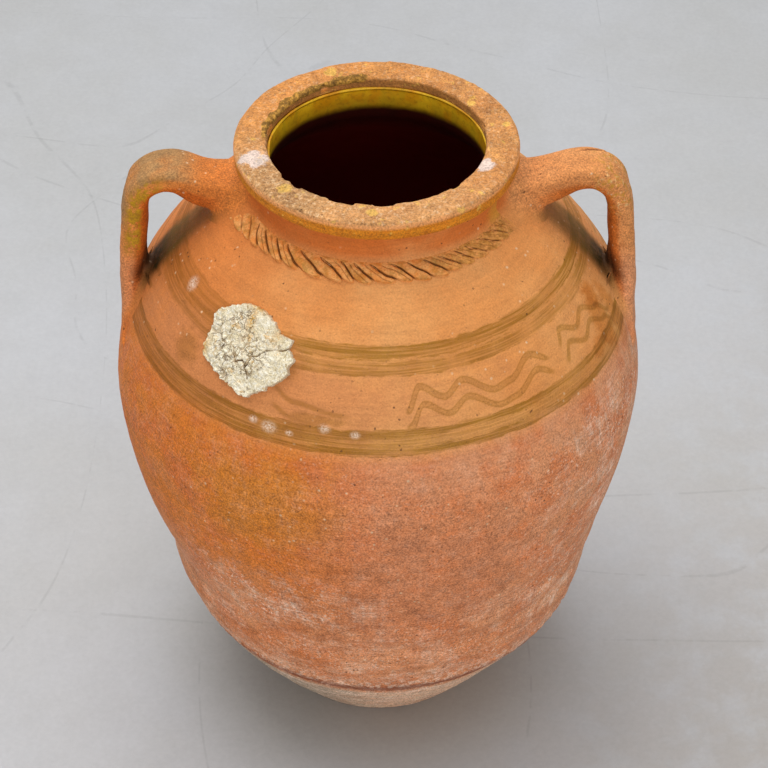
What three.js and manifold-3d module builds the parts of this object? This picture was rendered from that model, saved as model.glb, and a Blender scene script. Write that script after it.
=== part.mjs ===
import * as THREE from 'three';
import Module from 'manifold-3d';

// Two-handled storage jar. Millimetres, +Z up, standing on Z = 0, handles along X.

// Body walls as radius and height on the outside and on the inside of the clay.
const outerWall = [
  [109, 0], [144, 46], [180, 98], [210, 162], [226, 228], [243, 294],
  [252, 346], [254.5, 396], [244, 449], [223, 494], [194, 533], [163, 566],
  [137, 586], [122, 600], [120, 612], [124, 626],
];
const innerWall = [
  [98, 24], [116, 37], [132, 54], [167, 104], [197, 166], [212, 231], [229, 296],
  [237.5, 346], [240, 396], [230, 445], [211, 486], [183, 524], [153, 555],
  [124, 580], [107, 600], [103.5, 614], [103, 626],
];
const floorThickness = 24;
const turns = 40;

// Heights of the luted seams between the wall sections.
const footSeam = 110;
const waistSeam = 205;
const bellySeam = 438;
const neckSeam = 592;
const rimSeam = 626;
const lapHeight = 5;
const seamGap = 0.3;

// Rim.
const jarHeight = 648;
const rimRadius = 132;
const mouthRadius = 101;
const ledgeHeight = 635;

// Glaze coat inside, with the heights where its profile bends.
const glazeThickness = 1.2;
const glazeHeights = [30, 104, 231, 346, 445, 524, 555, 580, 597, 600, 614, 626];

// Handles: the centre line of each strap as distance from the axis and height.
const leftStrap = [
  [112, 596], [141, 598], [162, 602], [188, 611], [207, 608], [221, 596],
  [227, 575], [229, 551], [232, 528], [234.5, 506], [236.5, 486], [239, 462], [240, 440],
];
const rightStrap = [
  [112, 598], [141, 600], [162, 607], [184, 614], [203, 611], [217, 599],
  [225, 575], [229, 549], [232, 523], [235, 500], [237, 482], [240, 460], [241, 440],
];
const strapWidth = 48;
const strapThickness = 25;
const upperLuteEnd = 0.17;
const lowerLuteStart = 0.77;

// Cord of clay around the foot of the neck.
const cordWidth = 20;
const cordThickness = 7;
const cordLobes = 18;
const cordHalfSweep = 67;
const cordHeight = 591;

// Mortar repair on the shoulder.
const patchAzimuth = 234.6;
const patchHeight = 526;
const patchHalfWidth = 45;
const patchHalfHeight = 40;
const patchThickness = 5.5;

const wasm = await Module();
wasm.setup();

// Radius of a wall at a height, by Hermite segments through its stations.
function radiusAt(wall, height) {
  const last = wall.length - 1;
  const h = Math.min(Math.max(height, wall[0][1]), wall[last][1]);
  let i = 0;
  while (i < last - 1 && h > wall[i + 1][1]) i += 1;
  const slope = (k) => {
    const a = wall[Math.max(k - 1, 0)];
    const b = wall[Math.min(k + 1, last)];
    return (b[0] - a[0]) / (b[1] - a[1]);
  };
  const span = wall[i + 1][1] - wall[i][1];
  const t = (h - wall[i][1]) / span;
  const fromStart = (1 + 2 * t) * (1 - t) * (1 - t) * wall[i][0];
  const fromEnd = t * t * (3 - 2 * t) * wall[i + 1][0];
  const rise = t * (1 - t) * (1 - t) * span * slope(i);
  const fall = t * t * (t - 1) * span * slope(i + 1);
  return fromStart + fromEnd + rise + fall;
}

function wallPoints(wall, from, to, heights) {
  const between = heights.filter((h) => h > from + 0.6 && h < to - 0.6);
  return [from, ...between, to].map((h) => new THREE.Vector2(radiusAt(wall, h), h));
}

function lathe(points) {
  return new THREE.LatheGeometry(points, turns);
}

const middle = (h) => (radiusAt(outerWall, h) + radiusAt(innerWall, h)) / 2;
const outerHeights = outerWall.map((station) => station[1]);
const innerHeights = innerWall.map((station) => station[1]);

// One ring of wall between two seams, with a stepped lap at each end.
function wallSection(lowSeam, highSeam) {
  const low = lowSeam + seamGap;
  const lapLow = lowSeam + lapHeight + seamGap;
  const lapHigh = highSeam + lapHeight;
  const stepLow = middle(lowSeam) + seamGap / 2;
  const stepHigh = middle(highSeam) - seamGap / 2;
  const outside = wallPoints(outerWall, low, highSeam, outerHeights);
  const inside = wallPoints(innerWall, lapLow, lapHigh, innerHeights).reverse();
  const points = [
    new THREE.Vector2(stepLow, low),
    ...outside,
    new THREE.Vector2(stepHigh, highSeam),
    new THREE.Vector2(stepHigh, lapHigh),
    ...inside,
    new THREE.Vector2(stepLow, lapLow),
    new THREE.Vector2(stepLow, low),
  ];
  return lathe(points);
}

function baseSection() {
  const lapHigh = footSeam + lapHeight;
  const stepHigh = middle(footSeam) - seamGap / 2;
  const points = [
    new THREE.Vector2(0, 0),
    ...wallPoints(outerWall, 0, footSeam, outerHeights),
    new THREE.Vector2(stepHigh, footSeam),
    new THREE.Vector2(stepHigh, lapHigh),
    ...wallPoints(innerWall, floorThickness, lapHigh, innerHeights).reverse(),
    new THREE.Vector2(0, floorThickness),
  ];
  return lathe(points);
}

function neckSection() {
  const low = neckSeam + seamGap;
  const lapLow = low + lapHeight;
  const stepLow = middle(neckSeam) + seamGap / 2;
  const heights = [...outerHeights, 606, 619];
  heights.sort((a, b) => a - b);
  const points = [
    new THREE.Vector2(stepLow, low),
    ...wallPoints(outerWall, low, rimSeam, heights),
    ...wallPoints(innerWall, lapLow, rimSeam, innerHeights).reverse(),
    new THREE.Vector2(stepLow, lapLow),
    new THREE.Vector2(stepLow, low),
  ];
  return lathe(points);
}

function rimSection() {
  const low = rimSeam + seamGap;
  const outline = new THREE.Path();
  outline.moveTo(mouthRadius + 2, low);
  outline.lineTo(rimRadius - 6, low);
  outline.quadraticCurveTo(rimRadius, low + 1, rimRadius, low + 8);
  outline.lineTo(rimRadius, jarHeight - 5);
  outline.quadraticCurveTo(rimRadius, jarHeight, rimRadius - 5, jarHeight);
  outline.lineTo(mouthRadius + 4, jarHeight);
  outline.quadraticCurveTo(mouthRadius, jarHeight, mouthRadius, jarHeight - 4);
  outline.lineTo(mouthRadius, ledgeHeight + 1);
  outline.lineTo(mouthRadius + 2, ledgeHeight);
  outline.lineTo(mouthRadius + 2, low);
  return lathe(outline.getPoints(3));
}

// The glaze is an open pot of its own that starts under the ledge of the rim.
function glazeCoat() {
  const top = ledgeHeight - 1;
  const floor = floorThickness + seamGap;
  const shell = (offset) => glazeHeights.map((h) => {
    const lean = radiusAt(innerWall, h + 1) - radiusAt(innerWall, h - 1);
    const along = Math.hypot(lean / 2, 1);
    return new THREE.Vector2(radiusAt(innerWall, h) - offset * along, h);
  });
  const outside = shell(seamGap + 0.2);
  const inside = shell(seamGap + 0.2 + glazeThickness).reverse();
  const topRadius = mouthRadius + 2 - seamGap - 0.2;
  const points = [
    new THREE.Vector2(0, floor),
    new THREE.Vector2(radiusAt(innerWall, floor) - 1.5, floor),
    ...outside,
    new THREE.Vector2(topRadius, top),
    new THREE.Vector2(topRadius - glazeThickness, top),
    ...inside,
    new THREE.Vector2(radiusAt(innerWall, floor) - 4, floor + glazeThickness),
    new THREE.Vector2(0, floor + glazeThickness),
  ];
  return lathe(points);
}

// A closed skin over rings of points, each ring with the same count.
function skin(rings) {
  const count = rings[0].length;
  const positions = [];
  const triangles = [];
  for (const ring of rings) {
    for (const point of ring) positions.push(point.x, point.y, point.z);
  }
  for (let i = 0; i + 1 < rings.length; i += 1) {
    for (let j = 0; j < count; j += 1) {
      const a = i * count + j;
      const b = i * count + ((j + 1) % count);
      triangles.push(a, b, a + count, b, b + count, a + count);
    }
  }
  const cap = (ring, offset, flip) => {
    const centre = new THREE.Vector3();
    for (const point of ring) centre.addScaledVector(point, 1 / count);
    const hub = positions.length / 3;
    positions.push(centre.x, centre.y, centre.z);
    for (let j = 0; j < count; j += 1) {
      const a = offset + j;
      const b = offset + ((j + 1) % count);
      if (flip) triangles.push(hub, b, a);
      else triangles.push(hub, a, b);
    }
  };
  cap(rings[0], 0, true);
  cap(rings[rings.length - 1], (rings.length - 1) * count, false);
  const geometry = new THREE.BufferGeometry();
  geometry.setAttribute('position', new THREE.Float32BufferAttribute(positions, 3));
  geometry.setIndex(triangles);
  return geometry;
}

function toSolid(geometry) {
  const weld = new Map();
  const vertices = [];
  const position = geometry.getAttribute('position');
  const slots = [];
  for (let i = 0; i < position.count; i += 1) {
    const values = [position.getX(i), position.getY(i), position.getZ(i)];
    const key = values.map((value) => Math.round(value * 1e4)).join(' ');
    if (!weld.has(key)) {
      weld.set(key, vertices.length / 3);
      vertices.push(...values);
    }
    slots.push(weld.get(key));
  }
  const triangles = [];
  const index = geometry.getIndex();
  for (let i = 0; i < index.count; i += 3) {
    const a = slots[index.getX(i)];
    const b = slots[index.getX(i + 1)];
    const c = slots[index.getX(i + 2)];
    if (a !== b && b !== c && c !== a) triangles.push(a, b, c);
  }
  const mesh = new wasm.Mesh({
    numProp: 3,
    vertProperties: new Float32Array(vertices),
    triVerts: new Uint32Array(triangles),
  });
  return new wasm.Manifold(mesh);
}

function toGeometry(solid) {
  const mesh = solid.getMesh();
  const geometry = new THREE.BufferGeometry();
  const values = new Float32Array(mesh.vertProperties);
  geometry.setAttribute('position', new THREE.BufferAttribute(values, 3));
  geometry.setIndex(new THREE.BufferAttribute(new Uint32Array(mesh.triVerts), 1));
  return geometry;
}

// LatheGeometry turns about Y, so the profile's height is laid along Z.
function upright(geometry) {
  return geometry.rotateX(Math.PI / 2);
}

// Solid of the whole jar, a little larger than the walls, to trim what sits on them.
function jarEnvelope() {
  const heights = [...new Set([...outerHeights, neckSeam, footSeam, waistSeam, bellySeam, 606, 619])];
  heights.sort((a, b) => a - b);
  const clearance = 0.45;
  const points = [
    new THREE.Vector2(0, 0),
    ...heights.map((h) => new THREE.Vector2(radiusAt(outerWall, h) + clearance, h)),
    new THREE.Vector2(rimRadius + clearance, rimSeam),
    new THREE.Vector2(rimRadius + clearance, jarHeight + 1),
    new THREE.Vector2(0, jarHeight + 1),
  ];
  return toSolid(upright(lathe(points)));
}
const envelope = jarEnvelope();

// Part of a strap between two places on its centre line.
function strapPiece(stations, side, from, to, steps) {
  const curve = new THREE.CatmullRomCurve3(
    stations.map(([x, z]) => new THREE.Vector3(side * x, 0, z)),
    false,
    'centripetal',
  );
  const rings = [];
  for (let i = 0; i <= steps; i += 1) {
    const t = from + ((to - from) * i) / steps;
    const centre = curve.getPointAt(t);
    const along = curve.getTangentAt(t);
    const across = new THREE.Vector3(along.z, 0, -along.x).multiplyScalar(side);
    const root = Math.max(0, 1 - t / 0.2) ** 2;
    const tail = Math.max(0, (t - 0.66) / 0.34);
    const rootWeb = 1 - THREE.MathUtils.smoothstep(t, 0.14, 0.34);
    const tailWeb = THREE.MathUtils.smoothstep(t, 0.66, 0.78);
    const halfWidth = strapWidth / 2 + 9 * root + 10 * tail ** 2;
    const outerHalf = strapThickness / 2 + 7 * root - 8 * tail ** 1.3;
    const innerHalf = strapThickness / 2 + 12 * rootWeb + 10 * tailWeb - 8 * tail ** 1.3;
    const ring = [];
    for (let j = 0; j < 14; j += 1) {
      const angle = (2 * Math.PI * j) / 14;
      const point = centre.clone();
      const facing = Math.cos(angle);
      point.addScaledVector(across, facing * (facing > 0 ? innerHalf : outerHalf));
      point.y += side * halfWidth * Math.sin(angle);
      ring.push(point);
    }
    rings.push(ring);
  }
  return skin(rings);
}

// Twisted cord between two azimuths, in degrees, laid over the seam below the neck.
function cordBand(startAngle, endAngle) {
  const steps = cordLobes * 3;
  const slopeIn = 0.72;
  const rings = [];
  for (let i = 0; i <= steps; i += 1) {
    const part = i / steps;
    const azimuth = THREE.MathUtils.degToRad(startAngle + (endAngle - startAngle) * part);
    const ring = [];
    const taper = Math.min(1, 0.35 + 12 * Math.min(part, 1 - part));
    for (let j = 0; j < 8; j += 1) {
      const angle = (-2 * Math.PI * j) / 8;
      const climb = (Math.sin(angle) * cordWidth * taper) / 2;
      const lobe = 0.72 + 0.28 * Math.cos(2 * Math.PI * cordLobes * part - climb * 0.35);
      const lift = Math.cos(angle) * cordThickness * lobe * taper;
      const height = cordHeight + climb * slopeIn + lift * (1 - slopeIn);
      const radius = radiusAt(outerWall, cordHeight + climb * slopeIn) + lift;
      const x = radius * Math.cos(azimuth);
      const y = radius * Math.sin(azimuth);
      ring.push(new THREE.Vector3(x, y, height));
    }
    rings.push(ring);
  }
  return skin(rings);
}

// Lump of mortar pressed on the shoulder, with a ragged outline.
function mortarPatch() {
  const around = 28;
  const slope = -(radiusAt(outerWall, patchHeight + 5) - radiusAt(outerWall, patchHeight - 5)) / 10;
  const downSlope = 1 / Math.hypot(1, slope);
  const place = (reach, angle, lift) => {
    const ragged = 1 + 0.06 * Math.sin(3 * angle + 1) + 0.05 * Math.sin(7 * angle);
    const u = patchHalfWidth * reach * ragged * Math.cos(angle);
    const v = patchHalfHeight * reach * ragged * Math.sin(angle);
    const height = patchHeight + v * downSlope + lift * slope * downSlope;
    const radius = radiusAt(outerWall, patchHeight + v * downSlope) + lift * downSlope;
    const azimuth = THREE.MathUtils.degToRad(patchAzimuth) + u / radiusAt(outerWall, patchHeight);
    return new THREE.Vector3(radius * Math.cos(azimuth), radius * Math.sin(azimuth), height);
  };
  const ringAt = (reach, lift) => {
    const ring = [];
    for (let j = 0; j < around; j += 1) ring.push(place(reach, (2 * Math.PI * j) / around, lift));
    return ring;
  };
  const under = -2;
  return skin([
    ringAt(0.3, under),
    ringAt(0.97, under),
    ringAt(1, 1.5),
    ringAt(0.95, patchThickness * 0.8),
    ringAt(0.7, patchThickness),
    ringAt(0.3, patchThickness + 0.8),
  ]);
}

const group = new THREE.Group();

function add(name, geometry, colour, roughness) {
  const material = new THREE.MeshStandardMaterial({ color: colour, roughness });
  material.name = `${name}_material`;
  const mesh = new THREE.Mesh(geometry, material);
  mesh.name = name;
  group.add(mesh);
}

function addTrimmed(name, geometry, colour) {
  add(name, toGeometry(toSolid(geometry).subtract(envelope)), colour, 0.9);
}

const terracotta = 0xc9713c;
add('base_section', upright(baseSection()), 0xb98562, 0.95);
add('lower_wall', upright(wallSection(footSeam, waistSeam)), 0xb9683f, 0.95);
add('belly_wall', upright(wallSection(waistSeam, bellySeam)), terracotta, 0.9);
add('shoulder_wall', upright(wallSection(bellySeam, neckSeam)), 0xd88a50, 0.9);
add('neck_collar', upright(neckSection()), 0xc4703a, 0.9);
add('rim_ring', upright(rimSection()), 0xc59a6c, 0.95);
add('interior_glaze', upright(glazeCoat()), 0x3a2a12, 0.35);

for (const [word, side, strap] of [['left', -1, leftStrap], ['right', 1, rightStrap]]) {
  const cut = 0.0006;
  const upper = strapPiece(strap, side, 0, upperLuteEnd - cut, 8);
  const grip = strapPiece(strap, side, upperLuteEnd, lowerLuteStart, 22);
  const lower = strapPiece(strap, side, lowerLuteStart + cut, 1, 10);
  addTrimmed(`${word}_upper_lute`, upper, 0xd07c46);
  addTrimmed(`${word}_handle`, grip, terracotta);
  addTrimmed(`${word}_lower_lute`, lower, 0xc87545);
}

addTrimmed('front_cord', cordBand(270 - cordHalfSweep, 270 + cordHalfSweep), 0xb9743f);
addTrimmed('rear_cord', cordBand(90 - cordHalfSweep, 90 + cordHalfSweep), 0xb9743f);
addTrimmed('mortar_patch', mortarPatch(), 0xcbc6b4);

export default group;
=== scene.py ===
import itertools
import math

import bpy
import numpy as np
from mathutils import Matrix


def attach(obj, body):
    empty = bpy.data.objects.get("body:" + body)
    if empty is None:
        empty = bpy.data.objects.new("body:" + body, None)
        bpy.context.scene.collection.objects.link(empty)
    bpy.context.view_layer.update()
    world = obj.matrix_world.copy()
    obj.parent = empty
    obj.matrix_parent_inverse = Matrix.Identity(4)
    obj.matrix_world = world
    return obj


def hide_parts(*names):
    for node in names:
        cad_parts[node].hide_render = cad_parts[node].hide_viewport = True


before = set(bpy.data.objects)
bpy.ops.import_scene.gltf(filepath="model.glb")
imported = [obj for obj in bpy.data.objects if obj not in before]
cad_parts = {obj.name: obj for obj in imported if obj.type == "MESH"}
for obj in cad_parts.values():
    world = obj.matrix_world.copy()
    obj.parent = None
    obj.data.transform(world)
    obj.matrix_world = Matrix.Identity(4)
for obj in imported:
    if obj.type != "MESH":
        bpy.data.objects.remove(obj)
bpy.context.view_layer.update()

# ---------------------------------------------------------------- shape of the jar (metres)

MM = 0.001
OUTER = np.array([
    [109, 0], [144, 46], [180, 98], [210, 162], [226, 228], [243, 294],
    [252, 346], [254.5, 396], [244, 449], [223, 494], [194, 533], [163, 566],
    [137, 586], [122, 600], [120, 612], [124, 626]]) * MM
INNER = np.array([
    [98, 24], [116, 37], [132, 54], [167, 104], [197, 166], [212, 231], [229, 296],
    [237.5, 346], [240, 396], [230, 445], [211, 486], [183, 524], [153, 555],
    [124, 580], [107, 600], [103.5, 614], [103, 626]]) * MM
FLOOR_TOP = 24 * MM
FOOT_SEAM, WAIST_SEAM, BELLY_SEAM, NECK_SEAM, RIM_SEAM = (
    v * MM for v in (110, 205, 438, 592, 626))
LAP = 5 * MM
LAP_GAP = 0.15 * MM
FOOT_EDGE = ((0.02, 0), (0.1035, 0), (0.1072, 0.0006))
TURNS = 768
INNER_ROWS = 14
GLAZE_TURNS = 384

LEFT_STRAP = np.array([
    [112, 596], [141, 598], [162, 602], [188, 611], [207, 608], [221, 596],
    [227, 575], [229, 551], [232, 528], [234.5, 506], [236.5, 486], [239, 462], [240, 440]]) * MM
RIGHT_STRAP = np.array([
    [112, 598], [141, 600], [162, 607], [184, 614], [204, 612], [219, 600.5],
    [226.5, 577], [229, 549], [232, 523], [235, 500], [237, 482], [240, 460], [241, 440]]) * MM
STRAP_WIDTH = 48 * MM
STRAP_THICKNESS = 25 * MM
UPPER_LUTE_END = 0.17
LOWER_LUTE_START = 0.77

CORD_LOBES = 21
CORD_CENTRE = 591 * MM
CORD_BELOW, CORD_ABOVE = 9 * MM, 7.8 * MM
CORD_LEAN = 2.0
CORD_DROOP = 4 * MM
CORD_SKEW = 0.6
CORD_COLUMNS = 900
CORD_ROWS = 46
BEDDED = 3.5 * MM

PATCH_AZIMUTH = math.radians(-35.4)
PATCH_HEIGHT = 526 * MM
PATCH_RINGS = 140
PATCH_TURNS = 420


# ---------------------------------------------------------------- small numeric tools

CUBE_CORNERS = [np.array([k & 1, k >> 1 & 1, k >> 2]) for k in range(8)]


def smooth(x, low, high):
    """Smooth rise from 0 at low to 1 at high."""
    t = np.clip((np.asarray(x, float) - low) / (high - low), 0, 1)
    return t * t * (3 - 2 * t)


def bump(x, centre, width):
    """A rounded hump, 1 at its centre."""
    return np.exp(-((np.asarray(x, float) - centre) / width) ** 2)


def lattice(ix, iy, iz, seed):
    """A repeatable random number from 0 to 1 for each point of a lattice."""
    h = (ix * 374761393 + iy * 668265263 + iz * 1442695041 + seed * 974711) & 0xFFFFFFFF
    h = ((h ^ (h >> 13)) * 1274126177) & 0xFFFFFFFF
    h = ((h ^ (h >> 16)) * 2246822519) & 0xFFFFFFFF
    return ((h ^ (h >> 15)) & 0xFFFFFF) / float(0xFFFFFF)


def value_noise(points, size, seed):
    """Smooth noise from -1 to 1 with features of about the given size."""
    p = np.asarray(points, float) / size
    base = np.floor(p).astype(np.int64)
    f = p - base
    f = f * f * f * (f * (f * 6 - 15) + 10)
    total = np.zeros(p.shape[:-1])
    for corner in CUBE_CORNERS:
        weight = np.where(corner, f, 1 - f).prod(axis=-1)
        total += weight * lattice(*np.moveaxis(base + corner, -1, 0), seed)
    return total * 2 - 1


def fractal(points, size, octaves, seed):
    """Value noise with finer and weaker layers added to it."""
    amounts = 0.5 ** np.arange(octaves)
    layers = [a * value_noise(points, size / 2 ** k, seed + 17 * k) for k, a in enumerate(amounts)]
    return sum(layers) / amounts.sum()


def pits(points, size, threshold, seed):
    """Scattered small hollows, 0 to 1."""
    return smooth(value_noise(points, size, seed), threshold, threshold + 0.2)


def hermite(t, start, end, leaving, arriving):
    """Cubic from start to end as t goes from 0 to 1, with the given slopes at its ends."""
    return ((1 + 2 * t) * (1 - t) ** 2 * start + t * t * (3 - 2 * t) * end
            + t * (1 - t) ** 2 * leaving + t * t * (t - 1) * arriving)


def radius_at(wall, height):
    """Radius of a wall at a height, by a smooth curve through its stations."""
    r, z = wall[:, 0], wall[:, 1]
    h = np.clip(height, z[0], z[-1])
    i = np.clip(np.searchsorted(z, h, side="right") - 1, 0, len(z) - 2)
    before = np.maximum(np.arange(len(z)) - 1, 0)
    after = np.minimum(np.arange(len(z)) + 1, len(z) - 1)
    slope = (r[after] - r[before]) / (z[after] - z[before])
    span = z[i + 1] - z[i]
    return hermite((h - z[i]) / span, r[i], r[i + 1], span * slope[i], span * slope[i + 1])


def slope_at(wall, height, step=MM):
    """How much a wall's radius grows per metre of height."""
    return (radius_at(wall, height + step) - radius_at(wall, height - step)) / (2 * step)


def even_heights(low, high, count, wall=OUTER):
    """Heights evenly spaced along the profile."""
    h = np.linspace(low, high, 600)
    r = radius_at(wall, h)
    length = np.concatenate([[0], np.cumsum(np.hypot(np.diff(h), np.diff(r)))])
    return np.interp(np.linspace(0, length[-1], count), length, h)


AZIMUTHS = np.arange(TURNS) * 2 * math.pi / TURNS


def ring_points(radius, height, azimuth):
    """Azimuth 0 is the front (-Y) and grows towards +X."""
    radius, height, azimuth = np.broadcast_arrays(radius, height, azimuth)
    return np.stack([radius * np.sin(azimuth), -radius * np.cos(azimuth), height], axis=-1)


# ---------------------------------------------------------------- wavy lines and relief of the wall

WAVE = np.array([
    [-180, 512], [-165, 518], [-152, 504], [-138, 517], [-124, 503], [-110, 516], [-95, 505],
    [-80, 516], [-66, 504], [-52, 516], [-40, 505], [-28, 512], [-20, 503], [-8, 498],
    [2, 497], [7, 502], [10.5, 519], [16.5, 509.5], [21.5, 518.5], [29.5, 505], [34, 507],
    [41, 517.5], [47.5, 507], [51, 509], [54, 519.5], [60, 511], [64.5, 517.5], [71, 507],
    [75, 494], [92, 516], [106, 505], [120, 517], [134, 504], [148, 517], [163, 505], [180, 512]])
WAVE_WIDTH = 2.2
WAVE_DEPTH = 0.5 * MM


def signed_degrees(azimuth):
    return (np.degrees(azimuth) + 180) % 360 - 180


def wave_height(azimuth_deg):
    a = (azimuth_deg + 180) % 360 - 180
    x, y = WAVE[:, 0], WAVE[:, 1]
    i = np.clip(np.searchsorted(x, a, side="right") - 1, 0, len(x) - 2)
    t = (a - x[i]) / (x[i + 1] - x[i])
    return y[i] + (y[i + 1] - y[i]) * (3 * t * t - 2 * t ** 3)


def wave_lines(points, azimuth, height):
    """How much of the combed wavy lines lies on a point of the shoulder, 0 to 1."""
    a = signed_degrees(azimuth)
    h = height / MM
    slope = np.abs(wave_height(a + 0.6) - wave_height(a - 0.6)) / (1.2 * math.pi / 180 * 212)
    thick = np.hypot(1, slope)
    front = smooth(a, 6.0, 8.0) * (1 - smooth(a, 44, 48))
    side = smooth(a, 50, 53) * (1 - smooth(a, 73, 78)) * 0.75
    faint = (1 - front) * (1 - side) * 0.55 * smooth(value_noise(points, 0.07, 38), 0.0, 0.6)
    tail = smooth(a, -28, -24) * (1 - smooth(a, -10, -4)) * 0.5
    shown = np.maximum(np.maximum(front, side), np.maximum(faint * (np.abs(a) > 80), tail))
    amount = np.zeros_like(h)
    for drop, turn, strength in ((0, 0, 1.0), (12.8, 0.6, 0.9)):
        distance = np.abs(h - wave_height(a - turn) + drop) / thick
        line = 1 - smooth(distance, WAVE_WIDTH - 1.2, WAVE_WIDTH + 1.2)
        amount = np.maximum(amount, line * strength * shown)
    return amount


def ridge_height(azimuth):
    """The turning ridge above the foot dips at the front."""
    return 0.1175 + 0.0105 * (1 - np.cos(azimuth))


def lean(azimuth, h):
    """How far the wall stands out of true: a slack right side low down, a dent at the left waist."""
    right = np.clip(np.sin(azimuth), 0, 1) ** 1.5
    left = np.clip(-np.sin(azimuth), 0, 1) ** 1.5
    above = 1 - smooth(h, 0.132, 0.190)
    below = smooth(h, 0.080, 0.130)
    dent = left * (0.0058 * bump(h, 0.207, 0.034) + 0.0012 * bump(h, 0.14, 0.03))
    return right * 0.0062 * above * below - dent + right * 0.0012 * bump(h, 0.56, 0.02)


def relief(points, azimuth, h):
    """How far the clay at the heights h stands above the plain profile."""
    out = lean(azimuth, h)
    out += 0.0011 * fractal(points, 0.16, 2, 3) + 0.00042 * fractal(points, 0.022, 3, 5)
    low_part = 0.3 + 0.7 * (1 - smooth(h, 0.30, 0.46))
    out += 0.00026 * low_part * fractal(points, 0.0065, 2, 6)
    drift = value_noise(points * [1, 1, 2], 0.12, 7)
    rings = np.sin(2 * math.pi * h / 0.0135 + 2.2 * drift)
    out += 0.00018 * rings * low_part * (0.6 + 0.4 * drift)
    side = 0.6 + 0.4 * np.sin(azimuth * 2 + 0.8)
    out += 0.0016 * side * bump(h, 0.219, 0.011) - 0.0018 * side * bump(h, 0.197, 0.012)
    over_ridge = h - ridge_height(azimuth)
    firm = 0.75 + 0.25 * value_noise(points, 0.08, 9)
    out += firm * (0.0016 * bump(over_ridge, 0.004, 0.007) - 0.0014 * bump(over_ridge, -0.008, 0.005))
    foot = 1 - smooth(over_ridge, -0.016, -0.006)
    out += foot * 0.00042 * np.sin(2 * math.pi * h / 0.0072 + 1.5 * drift)
    out += foot * 0.00028 * value_noise(points * [0.16, 0.16, 1], 0.0028, 10)
    out += 0.0011 * bump(over_ridge, 0.012, 0.009) * smooth(value_noise(points, 0.0055, 12), 0.15, 0.6)
    combed = bump(h, 0.4775, 0.010) + bump(h, 0.5385, 0.010)
    out += combed * 0.00014 * np.sin(2 * math.pi * h / 0.0034 + drift)
    return out - 0.0011 * pits(points, 0.0075, 0.72, 11) * (1 - 0.6 * smooth(h, 0.3, 0.5))


def wall_surface(heights, azimuths=AZIMUTHS):
    """Points on the outside of the clay, rows by height."""
    height, azimuth = np.meshgrid(heights, azimuths, indexing="ij")
    plain = ring_points(radius_at(OUTER, height), height, azimuth)
    lift = relief(plain, azimuth, height)
    fade = smooth(height, -0.001, 0.012) * (1 - smooth(height, 0.6235, 0.6262))
    return lifted(plain, height, azimuth, lift * fade), azimuth, height


def lifted(plain, height, azimuth, lift):
    """Points moved out of the wall, square to its profile."""
    slope = slope_at(OUTER, height)
    out = np.stack([np.sin(azimuth), -np.cos(azimuth), -slope], axis=-1)
    return plain + out * (lift / np.hypot(1, slope))[..., None]


# ---------------------------------------------------------------- meshes from grids

def grid_normals(grid, closed=True):
    """Normals of a grid of points, rows then columns, pointing out of the clay."""
    if closed:
        across = np.roll(grid, -1, axis=1) - np.roll(grid, 1, axis=1)
    else:
        across = np.gradient(grid, axis=1)
    along = np.gradient(grid, axis=0)
    n = np.cross(across, along)
    length = np.linalg.norm(n, axis=-1, keepdims=True)
    return n / np.maximum(length, 1e-12)


def make_mesh(name, points, quads, tris=(), normals=None, attributes=None):
    """A mesh object with smooth faces, its own normals and float attributes for the materials."""
    mesh = bpy.data.meshes.new(name)
    points = np.asarray(points, np.float32).reshape(-1, 3)
    quads = np.asarray(quads, np.int32).reshape(-1, 4)
    tris = np.asarray(tris, np.int32).reshape(-1, 3)
    mesh.vertices.add(len(points))
    mesh.vertices.foreach_set("co", points.ravel())
    loops = np.concatenate([quads.ravel(), tris.ravel()])
    mesh.loops.add(len(loops))
    mesh.loops.foreach_set("vertex_index", loops)
    starts = np.concatenate([np.arange(len(quads)) * 4, len(quads) * 4 + np.arange(len(tris)) * 3])
    mesh.polygons.add(len(starts))
    mesh.polygons.foreach_set("loop_start", starts.astype(np.int32))
    mesh.polygons.foreach_set("use_smooth", np.ones(len(starts), bool))
    mesh.update(calc_edges=True)
    mesh.validate()
    for key, values in (attributes or {}).items():
        layer = mesh.attributes.new(key, "FLOAT", "POINT")
        layer.data.foreach_set("value", np.asarray(values, np.float32).ravel())
    if normals is not None:
        mesh.normals_split_custom_set_from_vertices(np.asarray(normals, float).reshape(-1, 3))
    obj = bpy.data.objects.new(name, mesh)
    bpy.context.scene.collection.objects.link(obj)
    return obj


def grid_quads(rows, cols, wrap_rows=False, wrap_cols=True):
    """Quads between the neighbours of a grid, numbered row by row."""
    i = np.arange(rows if wrap_rows else rows - 1)
    j = np.arange(cols if wrap_cols else cols - 1)
    i, j = np.meshgrid(i, j, indexing="ij")
    a = i * cols + j
    b = i * cols + (j + 1) % cols
    c = ((i + 1) % rows) * cols + (j + 1) % cols
    d = ((i + 1) % rows) * cols + j
    return np.stack([a, b, c, d], axis=-1).reshape(-1, 4)


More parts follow.
